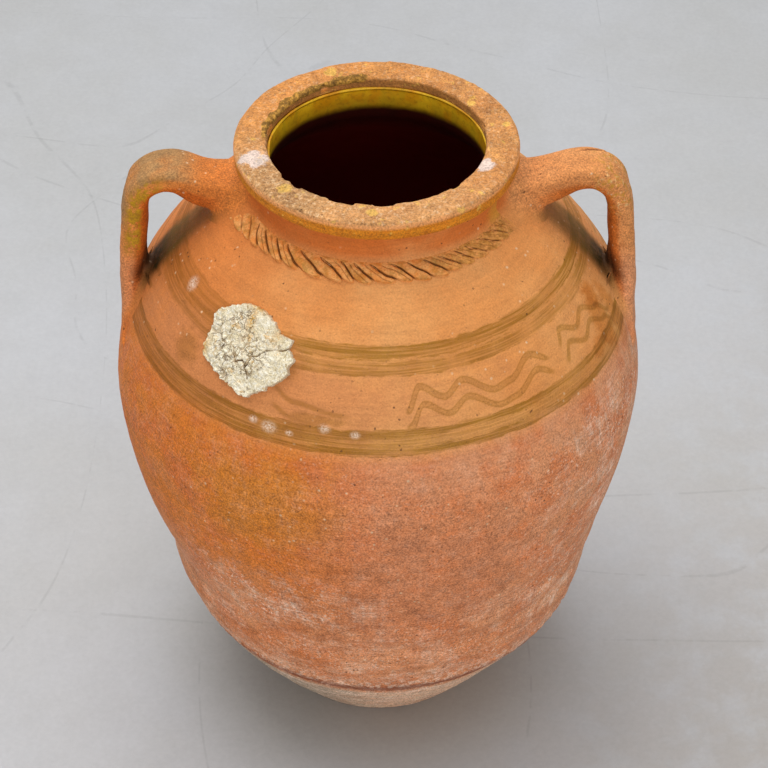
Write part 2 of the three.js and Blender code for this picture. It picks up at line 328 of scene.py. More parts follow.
def closed_piece(name, grid, wrap_rows, normals=None, attributes=None):
    """A closed mesh over a grid that is closed around: rows wrap, or each end gets a hub."""
    rows, cols = grid.shape[:2]
    points = grid.reshape(-1, 3)
    tris = []
    normals = (grid_normals(grid) if normals is None else normals).reshape(-1, 3)
    attributes = {key: layer.ravel() for key, layer in (attributes or {}).items()}
    ends = () if wrap_rows else ((0, -1), (rows - 1, 1))
    for ring, flip in ends:
        hub = len(points)
        points = np.vstack([points, grid[ring].mean(axis=0)])
        turn = np.cross(grid[ring][0] - points[-1], grid[ring][cols // 4] - points[-1])
        normals = np.vstack([normals, flip * turn / max(np.linalg.norm(turn), 1e-12)])
        attributes = {key: np.append(layer, layer[ring * cols]) for key, layer in attributes.items()}
        j = np.arange(cols)
        edge = [ring * cols + j, ring * cols + (j + 1) % cols][::flip]
        tris.append(np.stack([np.full(cols, hub)] + edge, axis=-1))
    quads = grid_quads(rows, cols, wrap_rows)
    return make_mesh(name, points, quads, np.vstack(tris) if tris else (), normals, attributes)


def finish_piece(piece, material, node):
    """Gives a piece its material, hangs it on the root body and hides the CAD part it stands for."""
    piece.data.materials.append(MATERIALS[material])
    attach(piece, "root")
    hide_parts(node)


def plain_ring(radius, height):
    """One level ring of points."""
    return ring_points(np.full(TURNS, radius), np.full(TURNS, height), AZIMUTHS)


def middle(h):
    """Radius of the middle of the wall, where the laps part."""
    return (radius_at(OUTER, h) + radius_at(INNER, h)) / 2


def padded_rows(low, high, count):
    """Heights of a section's rows, with one more at each end for the normals."""
    heights = even_heights(low, high, count)
    step = heights[1] - heights[0]
    return np.concatenate([[max(heights[0] - step, 0.0)], heights, [heights[-1] + step]])


def wall_piece(name, low, high, count, node, material):
    """One thrown section of the wall, with its stepped laps and its inside."""
    is_foot, has_waves = low == 0, node == "shoulder_wall"
    grid, azimuth, height = wall_surface(padded_rows(low, high, count))
    normals = grid_normals(grid)[1:-1]
    grid, azimuth, height = grid[1:-1], azimuth[1:-1], height[1:-1]
    if has_waves:
        wave = wave_lines(grid, azimuth, height)
        grid = grid - normals * (WAVE_DEPTH * wave)[..., None]
    rows = list(grid)
    if high < RIM_SEAM:
        rows += [plain_ring(middle(high) - LAP_GAP, h) for h in (high, high + LAP)]
    inner_low = FLOOR_TOP if is_foot else low + LAP
    inner_high = min(high + LAP, RIM_SEAM)
    rows += [plain_ring(radius_at(INNER, h), h)
             for h in even_heights(inner_low, inner_high, INNER_ROWS, INNER)[::-1]]
    edge = []
    if is_foot:
        edge = [plain_ring(r, z) for r, z in FOOT_EDGE]
        rows = edge + rows[1:] + [plain_ring(FOOT_EDGE[0][0], FLOOR_TOP)]
    else:
        rows += [plain_ring(middle(low) + LAP_GAP, h) for h in (low + LAP + LAP_GAP, low)]
    full = np.array(rows)
    skipped = int(is_foot)
    all_normals = grid_normals(full)
    all_normals[len(edge):len(edge) + len(grid) - skipped] = normals[skipped:]
    attributes = {}
    if has_waves:
        attributes["wave"] = np.vstack([wave, np.zeros((len(full) - len(wave), TURNS))])
    piece = closed_piece(name, full, not is_foot, all_normals, attributes)
    finish_piece(piece, material, node)


# ---------------------------------------------------------------- rim and glaze

def rim_outline():
    """Radius and height round the rim's section, from under its outside to under its inside."""
    start = np.array([123.8, 625.7])
    points = []
    for count, end, corner in (
            (2, (125.6, 626.4), None), (8, (131.8, 634.0), (131.4, 627.4)),
            (5, (131.9, 640.6), None), (9, (125.8, 647.7), (131.9, 646.9)),
            (18, (106.0, 647.5), None), (7, (101.1, 643.8), (101.6, 647.4)),
            (6, (101.2, 637.8), None), (4, (102.9, 635.3), (101.3, 635.8)),
            (5, (103.2, 626.0), None), (1, (104.5, 625.7), None), (2, (123.0, 625.6), None)):
        end = np.array(end)
        corner = (start + end) / 2 if corner is None else np.array(corner)
        t = np.linspace(0, 1, count, endpoint=False)[:, None]
        points.append((1 - t) ** 2 * start + 2 * t * (1 - t) * corner + t * t * end)
        start = end
    return np.vstack(points) * MM


def turned(section, azimuths):
    """A section of radii and heights turned round the axis: radius, height, azimuth and points."""
    radius, azimuth = np.meshgrid(section[:, 0], azimuths, indexing="ij")
    height = np.broadcast_to(section[:, 1:2], radius.shape)
    return radius, height, azimuth, ring_points(radius, height, azimuth)


def rim_piece():
    """The thick rolled rim, chipped along its inner edge and worn along its outer one."""
    outline = rim_outline()
    radius, height, azimuth, plain = turned(outline, AZIMUTHS)
    left = -np.radians(signed_degrees(azimuth))
    top = smooth(height, 0.6445, 0.6472)
    inner_edge = (1 - smooth(radius, 0.101, 0.108)) * smooth(height, 0.6365, 0.6425)
    lift = 0.0007 * fractal(plain, 0.05, 2, 41) + 0.0004 * fractal(plain, 0.011, 3, 43)
    lift += top * (0.0005 * fractal(plain, 0.0042, 2, 44) - 0.0009 * pits(plain, 0.006, 0.55, 45))
    back_left = smooth(left, 1.45, 1.75) * (1 - smooth(left, 2.95, 3.12))
    near_inside = 1 - smooth(radius + 0.003 * value_noise(plain, 0.012, 46), 0.104, 0.1085)
    crust = back_left * near_inside * smooth(height, 0.640, 0.645)
    lift += crust * (0.0006 + 0.0016 * fractal(plain, 0.0045, 2, 47))
    chips = smooth(value_noise(plain * [1, 1, 0.5], 0.012, 48), 0.22, 0.62)
    lift -= inner_edge * chips * 0.0024
    worn = smooth(radius, 0.1225, 0.130) * top
    lift -= worn * 0.0012 * smooth(value_noise(plain, 0.02, 49), 0.0, 0.6)
    hidden = smooth(height, 0.6268, 0.6290)
    grid = plain + grid_normals(plain) * (np.minimum(lift, 0.0014) * hidden)[..., None]
    grid[..., 0] -= 0.0009 * smooth(height, 0.6275, 0.633)
    piece = closed_piece("terracotta_rim", grid, True, None, {"crust": crust})
    finish_piece(piece, "rim", "rim_ring")


def inset(stations, depth):
    """The inside of the wall at some radii and heights, moved in square to the wall."""
    return [(r - depth * math.hypot(1, slope_at(INNER, h)), h) for r, h in stations]


def glaze_piece():
    """The coat of glaze inside: an open pot with a rolled bead along the ledge."""
    turn = np.arange(GLAZE_TURNS) * 2 * math.pi / GLAZE_TURNS
    wall = [(0.1026, 0.6350), (0.1030, 0.6310)]
    wall += [(radius_at(INNER, h), h) for h in np.linspace(0.6262, 0.588, 22)]
    wall += [(radius_at(INNER, h), h) for h in even_heights(0.030, 0.586, 78, INNER)[::-1]]
    inside = inset(wall, 1.7 * MM)
    back = inset(wall[:2] + wall[2::4], 0.4 * MM)
    bead = [(0.1024, 0.6353), (0.1014, 0.6361), (0.1001, 0.6356), (0.0997, 0.6344), (0.1003, 0.6332)]
    bottom = [(0.094, 0.0262), (0.06, 0.0256), (0.015, 0.0256)]
    under = [(0.015, 0.0244), (0.09, 0.0244)]
    profile = np.array(under + back[::-1] + bead + inside + bottom)
    height, _, plain = turned(profile, turn)[1:]
    coat = np.zeros((len(profile), 1))
    coat[len(under) + len(back):-len(bottom)] = 1
    ripple = 0.00035 * fractal(plain * [1, 1, 1.8], 0.022, 3, 61)
    ripple += 0.00010 * np.sin(2 * math.pi * height / 0.0125 + value_noise(plain, 0.1, 62))
    lift = coat * ripple * (1 - smooth(height, 0.628, 0.6325))
    lift += 0.0007 * value_noise(plain, 0.017, 63) * bump(height, 0.635, 0.002) * coat
    grid = plain + grid_normals(plain) * lift[..., None]
    piece = closed_piece("inner_glaze_coat", grid, False)
    finish_piece(piece, "glaze", "interior_glaze")


# ---------------------------------------------------------------- handles

STRAP_STEPS = 400
VOXEL_MM = 1.3
VOXEL = VOXEL_MM * MM
STRAP_BOX = ((98, 253), (-52, 52.1), (424, 634))  # the handle's grid: x, y and z ranges in mm
ARRIS = 3.2  # roundness of the strap's section: 2 is an ellipse
HIDDEN = 0.4 * MM  # depth at which the fillets end under the wall's surface
EMBEDDED = 3 * MM  # how far the ends of the strap reach into the wall
COLLAR = 3 * MM  # how far the joint runs on past its fillet


def strap_path(stations):
    """Evenly spaced points and tangents on a smooth curve through the stations."""
    d = np.concatenate([[0], np.cumsum(np.sqrt(np.linalg.norm(np.diff(stations, axis=0), axis=1)))])
    last = len(stations) - 1

    def between(a, b):
        return (stations[b] - stations[a]) / (d[b] - d[a])

    slopes = [between(0, 1)]
    slopes += [between(k - 1, k) - between(k - 1, k + 1) + between(k, k + 1) for k in range(1, last)]
    slopes += [between(last - 1, last)]
    t = np.linspace(0, 1, 60, endpoint=False)[:, None]
    fine = [hermite(t, stations[k], stations[k + 1], (d[k + 1] - d[k]) * slopes[k],
                    (d[k + 1] - d[k]) * slopes[k + 1]) for k in range(last)]
    fine = np.vstack(fine + [stations[-1:]])
    length = np.concatenate([[0], np.cumsum(np.linalg.norm(np.diff(fine, axis=0), axis=1))])
    at = np.linspace(0, length[-1], STRAP_STEPS + 1)
    points = np.stack([np.interp(at, length, fine[:, k]) for k in range(2)], axis=1)
    tangents = np.gradient(points, axis=0)
    return points, tangents / np.linalg.norm(tangents, axis=1, keepdims=True)


def rounded_slab(across, y, outer_half, inner_half, half_width):
    """Distance from a strap whose section is a rounded rectangle, nearly."""
    reach = np.where(across > 0, outer_half, inner_half)
    p, q = np.abs(across) / reach, np.abs(y) / half_width
    n = np.maximum((p ** ARRIS + q ** ARRIS) ** (1 / ARRIS), 0.05)
    steep = np.hypot((p / n) ** (ARRIS - 1) / reach, (q / n) ** (ARRIS - 1) / half_width)
    return (n - 1) / np.maximum(steep, 20)


def strap_field(stations, x, y, z):
    """Distance of grid points from the strap, place along it, and reach towards its outer side."""
    centre, tangent = strap_path(stations)
    plane = np.stack(np.meshgrid(x, z, indexing="ij"), axis=-1)
    away = (plane ** 2).sum(-1)[..., None] - 2 * plane @ centre.T + (centre ** 2).sum(-1)
    nearest = away.argmin(axis=-1)
    offset = plane - centre[nearest]
    normal = np.stack([-tangent[:, 1], tangent[:, 0]], axis=1)[nearest]
    across = (offset * normal).sum(-1)
    beyond = np.maximum(np.abs((offset * tangent[nearest]).sum(-1)) - 0.6 * MM, 0)
    t = nearest / STRAP_STEPS
    root = np.maximum(0, 1 - t / 0.2) ** 2
    tail = np.maximum(0, (t - 0.66) / 0.34)
    thin = 8 * MM * tail ** 1.3
    half_width = STRAP_WIDTH / 2 + 6 * MM * root + 8 * MM * tail ** 2
    outer_half = STRAP_THICKNESS / 2 + 5 * MM * root - thin
    inner_half = STRAP_THICKNESS / 2 + 10 * MM * (1 - smooth(t, 0.14, 0.34)) - thin
    filled = smooth(t, 0.64, 0.84)
    layers = [v[:, None, :] for v in (across, outer_half, inner_half, half_width, filled)]
    across, outer_half, inner_half, half_width, filled = layers
    y = y[None, :, None]
    slab = rounded_slab(across, y, outer_half, inner_half, half_width)
    web = rounded_slab(across, y, outer_half - 3 * MM, inner_half + 9 * MM * filled, 0.5 * half_width)
    strap = np.minimum(slab, np.where(filled > 0, web, 1.0))
    beyond = beyond[:, None, :]
    strap = np.where(beyond > 0, np.hypot(np.maximum(strap, 0), beyond), strap)
    shape = strap.shape
    return strap, np.broadcast_to(t[:, None, :], shape), np.broadcast_to(across, shape)


def wall_field(x, y, z, side):
    """Distance of grid points above the clay wall near one handle."""
    xs, ys = np.meshgrid(x, y, indexing="ij")
    azimuth = np.arctan2(xs, -ys)
    table = np.linspace(azimuth.min(), azimuth.max(), 96)
    height, turn = np.meshgrid(np.minimum(z, OUTER[-1, 1]), side * table, indexing="ij")
    lift = relief(ring_points(radius_at(OUTER, height), height, turn), turn, height)
    at = (azimuth - table[0]) / (table[1] - table[0])
    low = np.clip(at.astype(int), 0, len(table) - 2)
    f = (at - low)[..., None]
    lift = lift.T[low] * (1 - f) + lift.T[low + 1] * f
    return (np.hypot(xs, ys)[..., None] - radius_at(OUTER, z)) / np.hypot(1, slope_at(OUTER, z)) - lift


def smooth_union(a, b, reach):
    """Union of two distances with a fillet of about the given reach."""
    h = np.clip(0.5 + 0.5 * (b - a) / reach, 0, 1)
    return b + (a - b) * h - reach * h * (1 - h)


def zero_surface(field, low, step):
    """Points and quads of the surface where a field of distances on a grid passes through zero."""
    cells = tuple(n - 1 for n in field.shape)
    total, count = np.zeros(cells + (3,)), np.zeros(cells)
    corners, flips = [], []
    for axis in range(3):
        b, c = (axis + 1) % 3, (axis + 2) % 3
        first = np.take(field, np.arange(field.shape[axis] - 1), axis)
        last = np.take(field, np.arange(1, field.shape[axis]), axis)
        at = np.array(np.nonzero((first < 0) != (last < 0))).T
        start, end = first[tuple(at.T)], last[tuple(at.T)]
        place = at.astype(float)
        place[:, axis] += start / (start - end)
        around = []
        for back_b, back_c in ((1, 1), (0, 1), (0, 0), (1, 0)):
            cell = at.copy()
            cell[:, b] -= back_b
            cell[:, c] -= back_c
            np.add.at(total, tuple(cell.T), place)
            np.add.at(count, tuple(cell.T), 1)
            around.append(np.ravel_multi_index(tuple(cell.T), cells))
        corners.append(np.stack(around, axis=-1))
        flips.append(start > 0)
    quads, flip = np.concatenate(corners), np.concatenate(flips)
    quads[flip] = quads[flip][:, ::-1]
    used = count.ravel() > 0
    number = np.cumsum(used) - 1
    points = total.reshape(-1, 3)[used] / count.ravel()[used][:, None]
    return low + step * points, number[quads]


def sample(field, points, low, step):
    """Values of a grid field at points, linear between grid points."""
    at = (points - low) / step
    base = np.clip(np.floor(at).astype(int), 0, np.array(field.shape) - 2)
    f = at - base
    return sum(np.where(corner, f, 1 - f).prod(axis=-1) * field[tuple((base + corner).T)]
               for corner in CUBE_CORNERS)


def surface_normals(points, quads):
    """Normals of a mesh of quads, averaged at each point."""
    corner = points[quads]
    face = np.cross(corner[:, 2] - corner[:, 0], corner[:, 3] - corner[:, 1])
    total = np.zeros_like(points)
    for k in range(4):
        np.add.at(total, quads[:, k], face)
    return total / np.maximum(np.linalg.norm(total, axis=1, keepdims=True), 1e-15)


def capped_part(name, points, normals, layers, quads):
    """Some of the faces of a closed surface as a closed piece, its cut ends covered by fans."""
    used, local = np.unique(quads, return_inverse=True)
    quads = local.reshape(-1, 4)
    points, normals = points[used], normals[used]
    layers = {key: layer[used] for key, layer in layers.items()}
    edges = np.concatenate([quads[:, [k, (k + 1) % 4]] for k in range(4)])
    known = set(map(tuple, edges))
    after = {b: a for a, b in known if (b, a) not in known}
    tris = []
    while after:
        loop = [next(iter(after))]
        while loop[-1] in after:
            loop.append(after.pop(loop[-1]))
        hub = len(points)
        points = np.vstack([points, points[loop].mean(axis=0)])
        normals = np.vstack([normals, normals[loop[0]]])
        layers = {key: np.append(layer, layer[loop[0]]) for key, layer in layers.items()}
        tris += [(a, b, hub) for a, b in zip(loop[:-1], loop[1:])]
    return make_mesh(name, points, quads, tris, normals, layers)


def fillet_reach(t, across):
    """Reach of the fillet between strap and wall: wide at the root, tight under the tail."""
    inner = smooth(-across, -2 * MM, 8 * MM)
    late = smooth(t, 0.3, 0.6)
    early = 1 - smooth(t, 0.03, 0.20)
    root = (18 - 8 * inner) * (1 - late)
    tail = (13 - 10.5 * inner * (1 - smooth(t, 0.68, 0.80))) * late
    return (root + tail + (10 + 12 * inner) * early) * MM


def crack_line(points, facing, seed):
    """The short crack over the top of the right handle, 0 to 1."""
    off = points[:, 1] - 0.0165 - 0.30 * (points[:, 0] - 0.205)
    off = np.abs(off + 0.0012 * value_noise(points, 0.006, seed))
    return (1 - smooth(off, 0.0009, 0.0022)) * bump(points[:, 0], 0.203, 0.014) * smooth(facing, 0, 0.6)


def strap_relief(points, place, facing, above, seed):
    """Finger furrows, strokes down the tail, lumps and pits of a strap."""
    free = smooth(above, 0.5 * MM, 7 * MM)
    outer = smooth(facing, 0.2, 0.9)
    lift = free * (0.0011 * fractal(points, 0.045, 2, seed)
                   + 0.00045 * fractal(points, 0.012, 3, seed + 1))
    width = np.abs(points[:, 1]) / (STRAP_WIDTH / 2)
    grip = smooth(place, 0.25, 0.4) * (1 - smooth(place, 0.70, 0.8))
    lift += 0.0006 * np.cos(width * 7.5 + 0.6) * outer * grip
    strokes = np.cos(points[:, 1] / 0.0068 + 1.4 * value_noise(points, 0.05, seed + 2))
    lift += 0.0009 * smooth(place, 0.72, 0.84) * outer * strokes * smooth(above, 0, 3 * MM)
    return lift - 0.0009 * pits(points, 0.006, 0.7, seed + 3) * free


def handle_pieces(word, stations, side, seed):
    """A strap grown into the neck and the shoulder, parted where the lutes end."""
    x, y, z = (np.arange(start, end, VOXEL_MM) * MM for start, end in STRAP_BOX)
    low = np.array([x[0], y[0], z[0]])
    strap, t, across = strap_field(stations, x, y, z)
    wall = wall_field(x, y, z, side)
    fillet = fillet_reach(t, across)
    joined = smooth_union(strap, wall + HIDDEN, fillet)
    solid = np.maximum(joined, np.maximum(strap - fillet - COLLAR, -wall - EMBEDDED))
    border = np.ones_like(solid)
    border[1:-1, 1:-1, 1:-1] = solid[1:-1, 1:-1, 1:-1]
    points, quads = zero_surface(border, low, VOXEL)
    place, facing, above = (sample(field, points, low, VOXEL) for field in (t, across, wall))
    facing = facing / (STRAP_THICKNESS / 2)
    points = points * [side, 1, 1]
    if side < 0:
        quads = quads[:, ::-1]
    lift = strap_relief(points, place, facing, above, seed)
    crack = np.zeros(len(points))
    if side > 0:
        crack = crack_line(points, facing, seed + 4)
        lift = lift - 0.0022 * crack
    points = points + surface_normals(points, quads) * lift[:, None]
    normals = surface_normals(points, quads)
    # Painted shade and dirt: a mask to darken the narrow cleft between the strap's tail and the
    # shoulder.
    cleft_shade_and_dirt = (1 - smooth(above, 4 * MM, 30 * MM)) * smooth(-facing, -0.4, 0.5)
    cleft_shade_and_dirt = cleft_shade_and_dirt * smooth(place, 0.55, 0.70) * smooth(points[:, 2], 0.490, 0.512)
    layers = {"crack": crack, "place": place, "facing": np.clip(facing, -1.5, 1.5) / 2 + 0.5,
              "near_wall": 1 - smooth(above, 1 * MM, 9 * MM), "cleft_shade_and_dirt": cleft_shade_and_dirt}
    middle_place = place[quads].mean(axis=1)
    upper, lower = middle_place < UPPER_LUTE_END, middle_place > LOWER_LUTE_START
    for label, chosen, node in (("upper_lute", upper, f"{word}_upper_lute"),
                                ("grip", ~upper & ~lower, f"{word}_handle"),
                                ("lower_lute", lower, f"{word}_lower_lute")):
        piece = capped_part(f"{word}_handle_{label}", points, normals, layers, quads[chosen])
        finish_piece(piece, "handle", node)


# ---------------------------------------------------------------- cord band

def skirted(rows, cols):
    """Quads of a grid, its underside, whose points come second, and a skirt between them."""
    face = grid_quads(rows, cols, wrap_cols=False)
    ring = np.concatenate([np.arange(cols), np.arange(1, rows) * cols + cols - 1,
                           (rows - 1) * cols + np.arange(cols - 2, -1, -1),
                           np.arange(rows - 2, 0, -1) * cols])
    after = np.roll(ring, -1)
    skirt = np.stack([ring + rows * cols, after + rows * cols, after, ring], axis=-1)
    return np.concatenate([face, face[:, ::-1] + rows * cols, skirt])


def cord_piece(name, node, start_deg, end_deg, seed, wear_from, thin_until):
    """A band of slanting finger-pressed lobes, free at their lower ends and merging above."""
    cols, rows = CORD_COLUMNS, CORD_ROWS
    azimuth = np.radians(np.linspace(start_deg, end_deg, cols))
    heights = even_heights(CORD_CENTRE - CORD_BELOW, CORD_CENTRE + CORD_ABOVE, rows)
    height, az = np.meshgrid(heights, azimuth, indexing="ij")
    degrees = np.degrees(az)
    height = height - CORD_DROOP * (1 - smooth(degrees, -84, -58))
    across = np.broadcast_to(np.linspace(0, 1, rows)[:, None], height.shape)
    plain = ring_points(radius_at(OUTER, height), height, az)
    along = np.linspace(0, 1, cols) * CORD_LOBES
    steady = ring_points(np.full(cols, 0.13), np.full(cols, CORD_CENTRE), azimuth)
    uneven = 0.42 * value_noise(steady, 0.045, seed) + 0.16 * value_noise(steady, 0.018, seed + 5)
    phase = (along + uneven)[None, :] + CORD_LEAN * across + 0.05 * value_noise(plain, 0.007, seed + 6)
    number = np.floor(phase)
    part = phase - number
    own = lattice(number.astype(np.int64), 0, 0, seed + 9)
    lobe_mm = math.radians(end_deg - start_deg) * 130 / CORD_LOBES * CORD_SKEW
    worn = smooth(degrees, wear_from, wear_from + 22)
    groove = bump(np.minimum(part, 1 - part) * lobe_mm, 0, 0.80)
    second = bump(np.abs(part - 0.40 - 0.2 * own) * lobe_mm, 0, 0.50)
    groove = groove + 0.45 * second * (own + 0.7 * worn > 0.55)
    rounded = np.clip(1 - (2 * part - 1) ** 2, 0, 1) ** 0.5
    low_end = 0.10 + 0.08 * own + 0.20 * (1 - rounded)
    end = smooth(across, low_end, low_end + 0.07)
    thin = 1 - smooth(degrees, thin_until, thin_until + 12)
    edge = np.minimum(along, CORD_LOBES - along)[None, :]
    strength = smooth(edge, 0.0, 0.9) * (1 - 0.35 * worn) * (1 - 0.45 * thin)
    upper = 1 - smooth(across, 0.60, 0.97)
    body = end * (0.0012 + 0.0030 * upper * (0.35 + 0.65 * rounded * (1 - 0.5 * worn)))
    cut = groove * end * (1 - smooth(across, 0.80, 0.98))
    pitted = 0.0014 * fractal(plain, 0.0046, 3, seed + 2) - 0.0012 * pits(plain, 0.0036, 0.3, seed + 4)
    pitted = pitted * worn
    lumps = 0.0005 * fractal(plain, 0.006, 2, seed + 3)
    lift = (body - 0.0024 * cut + (lumps + pitted) * end) * strength
    lift = lift * (1 - smooth(across, 0.86, 1.0)) - 0.0004 * (1 - end)
    rim = np.minimum(smooth(across, 0.0, 0.05), 1 - smooth(across, 0.96, 1.0))
    rim = np.minimum(rim, smooth(edge, 0.0, 0.15))
    lift = lift * rim - 0.0012 * (1 - rim) + relief(plain, az, height)
    top = lifted(plain, height, az, lift)
    below = lifted(plain, height, az, np.full_like(height, -BEDDED))
    points = np.concatenate([top.reshape(-1, 3), below.reshape(-1, 3)])
    normals = grid_normals(top, closed=False).reshape(-1, 3)
    # The lobes' feet and the grooves go into the "groove" layer, which the colour darkens as dirt and
    # painted shade.
    foot = 1 - smooth(across, low_end - 0.05, low_end + 0.03)
    foot = foot * smooth(across, low_end - 0.12, low_end - 0.03)
    layers = {"groove": (cut + 1.1 * foot) * strength, "raised": end * strength, "worn": worn * end,
              "pit": np.clip(-900 * pitted, 0, 1) * end}
    attributes = {key: np.tile(layer.ravel(), 2) for key, layer in layers.items()}
    normals = np.concatenate([normals, -normals])
    piece = make_mesh(name, points, skirted(rows, cols), (), normals, attributes)
    finish_piece(piece, "cord", node)


# ---------------------------------------------------------------- mortar repair

def cells(points, size, seed):
    """Distances to the nearest and second nearest of scattered points, in cells."""
    p = points / size
    base = np.floor(p).astype(np.int64)
    near = np.full(p.shape[:-1], 9.0)
    second = near.copy()
    for shift in itertools.product((-1, 0, 1), repeat=3):
        cell = base + shift
        own = [lattice(*np.moveaxis(cell, -1, 0), seed + 101 * k) for k in range(3)]
        spot = cell + np.stack(own, axis=-1)
        distance = np.linalg.norm(spot - p, axis=-1)
        second = np.minimum(second, np.maximum(near, distance))
        near = np.minimum(near, distance)
    return near, second


# Outline of the repair: degrees round it from its right, and reach from its centre in mm.
PATCH_OUTLINE = np.array([
    [0, 45], [10, 46.5], [20, 42.5], [31, 47.5], [46, 37], [58, 38], [80, 38.5], [102, 41],
    [120, 44.5], [137, 48.5], [150, 52], [161, 53], [176, 48], [190, 47], [204, 48.5], [214, 44],
    [228, 39.5], [242, 37.5], [257, 36.5], [269, 36.5], [280, 41], [286, 42], [300, 38.5],
    [320, 38], [336, 40.5], [348, 44], [360, 45]])
PATCH_CRACKS = (
    ((4, -2), (11, 0.5), (17, 8), (26, 11), (34, 13), (44, 19)),
    ((9, -22), (3.5, -13.6), (6.3, -4.1), (5, 2)),
    ((3.5, -13.6), (-2, -9), (-8, -12)))


def along_cracks(u, v):
    """Distance in mm from the nearest of the repair's long cracks."""
    nearest = np.full(u.shape, 99.0)
    for crack in PATCH_CRACKS:
        for (ax, ay), (bx, by) in zip(crack[:-1], crack[1:]):
            dx, dy = bx - ax, by - ay
            t = np.clip(((u - ax) * dx + (v - ay) * dy) / (dx * dx + dy * dy), 0, 1)
            nearest = np.minimum(nearest, np.hypot(u - ax - t * dx, v - ay - t * dy))
    return nearest


def mortar_piece():
    """The lump of mortar on the shoulder: slabs, crazing, three long cracks and crumbs."""
    angle = np.arange(PATCH_TURNS) * 2 * math.pi / PATCH_TURNS
    reach = np.linspace(0.0, 1.0, PATCH_RINGS + 1)[1:]
    rr, aa = np.meshgrid(reach, angle, indexing="ij")
    circle = np.stack([np.cos(angle), np.sin(angle), 0 * angle], axis=-1)
    outline = np.interp(np.degrees(angle), PATCH_OUTLINE[:, 0], PATCH_OUTLINE[:, 1])
    ragged = outline * (1 + 0.040 * fractal(circle, 0.22, 3, 72) + 0.050 * fractal(circle, 0.07, 4, 70))
    u = ragged * rr * np.cos(aa)
    v = ragged * rr * np.sin(aa)
    height = PATCH_HEIGHT + v * MM / np.hypot(1, slope_at(OUTER, PATCH_HEIGHT, 5 * MM))
    azimuth = PATCH_AZIMUTH + u * MM / radius_at(OUTER, PATCH_HEIGHT)
    plain = ring_points(radius_at(OUTER, height), height, azimuth)
    warp = 0.0040 * np.stack([fractal(plain, 0.007, 3, seed) for seed in (74, 84, 94)], axis=-1)
    near, second = cells(plain + warp, 0.0072, 75)
    crazed = bump(u, -14, 30) * bump(v, -2, 30) + 0.35 * value_noise(plain, 0.014, 76)
    crazed = smooth(crazed, 0.24, 0.70)
    uneven = 0.35 + 0.65 * smooth(value_noise(plain, 0.009, 78), -0.35, 0.35)
    fine_crack = (1 - smooth(second - near, 0.03, 0.20)) * crazed * uneven
    wander = 1.6 * fractal(plain, 0.006, 2, 77)
    long_crack = (1 - smooth(along_cracks(u + wander, v + wander), 0.2, 0.9)) * uneven
    holes = pits(plain, 0.0032, 0.62, 79) * (1 - 0.6 * crazed)
    slab_near, slab_second = cells(plain + 1.4 * warp, 0.021, 87)
    slabs = smooth(slab_second - slab_near, 0.0, 0.22)
    thick = 0.0036 + 0.0013 * fractal(plain, 0.024, 2, 73) + 0.0009 * fractal(plain, 0.008, 3, 81)
    thick += 0.0009 * slabs + 0.0006 * crazed * (0.4 - np.sqrt(np.clip(near, 0, 1)))
    thick += 0.0008 * smooth(u, 8, 14) * (1 - smooth(v, 6, 10))
    rim = np.clip(1 - rr, 0, 1) * ragged
    shoulder = smooth(rim, 0.0, 1.6)
    lift = thick + 0.0005 * fractal(plain, 0.0032, 3, 80)
    lift -= 0.0008 * fine_crack + 0.0026 * long_crack + 0.0008 * holes
    lift = np.maximum(lift, 0.0010) * shoulder - 0.0022 * (1 - shoulder)
    top = lifted(plain, height, azimuth, lift + relief(plain, azimuth, height))
    back = lifted(plain, height, azimuth, np.full_like(height, -BEDDED))
    ochre = np.maximum(bump(u, -8, 5) * bump(v, 28, 12), bump(u, -5, 16) * bump(v, 40, 5))
    ochre = np.maximum(ochre, bump(u, -44, 6) * bump(v, -16, 12))
    ochre = np.maximum(ochre, 0.7 * bump(u, 24, 6) * bump(v, 22, 9))
    layers = {"crack": np.clip(0.75 * fine_crack + long_crack, 0, 1), "hole": holes, "ochre": ochre,
              "crazed": crazed, "edge": 1 - smooth(rim, 0.3, 2.2)}

    def from_behind(behind, front):
        """Rows from inside the back, over the edge, to the middle of the front."""
        return np.concatenate([behind[[PATCH_RINGS * 3 // 7, -1]], front[::-1]])

    attributes = {key: from_behind(layer, layer) for key, layer in layers.items()}
    piece = closed_piece("mortar_repair", from_behind(back, top), False, None, attributes)
    finish_piece(piece, "mortar", "mortar_patch")


# ---------------------------------------------------------------- node materials

class Value:
    """A node's output, which can be added, subtracted and multiplied."""

    def __init__(self, graph, socket):
        self.graph = graph
        self.socket = socket

    def __add__(self, other):
        return self.graph.math("ADD", self, other)

    def __sub__(self, other):
        return self.graph.math("SUBTRACT", self, other)

    def __rsub__(self, other):
        return self.graph.math("SUBTRACT", other, self)

    def __mul__(self, other):
        return self.graph.math("MULTIPLY", self, other)

    def __abs__(self):
        return self.graph.math("ABSOLUTE", self)

    __radd__, __rmul__ = __add__, __mul__


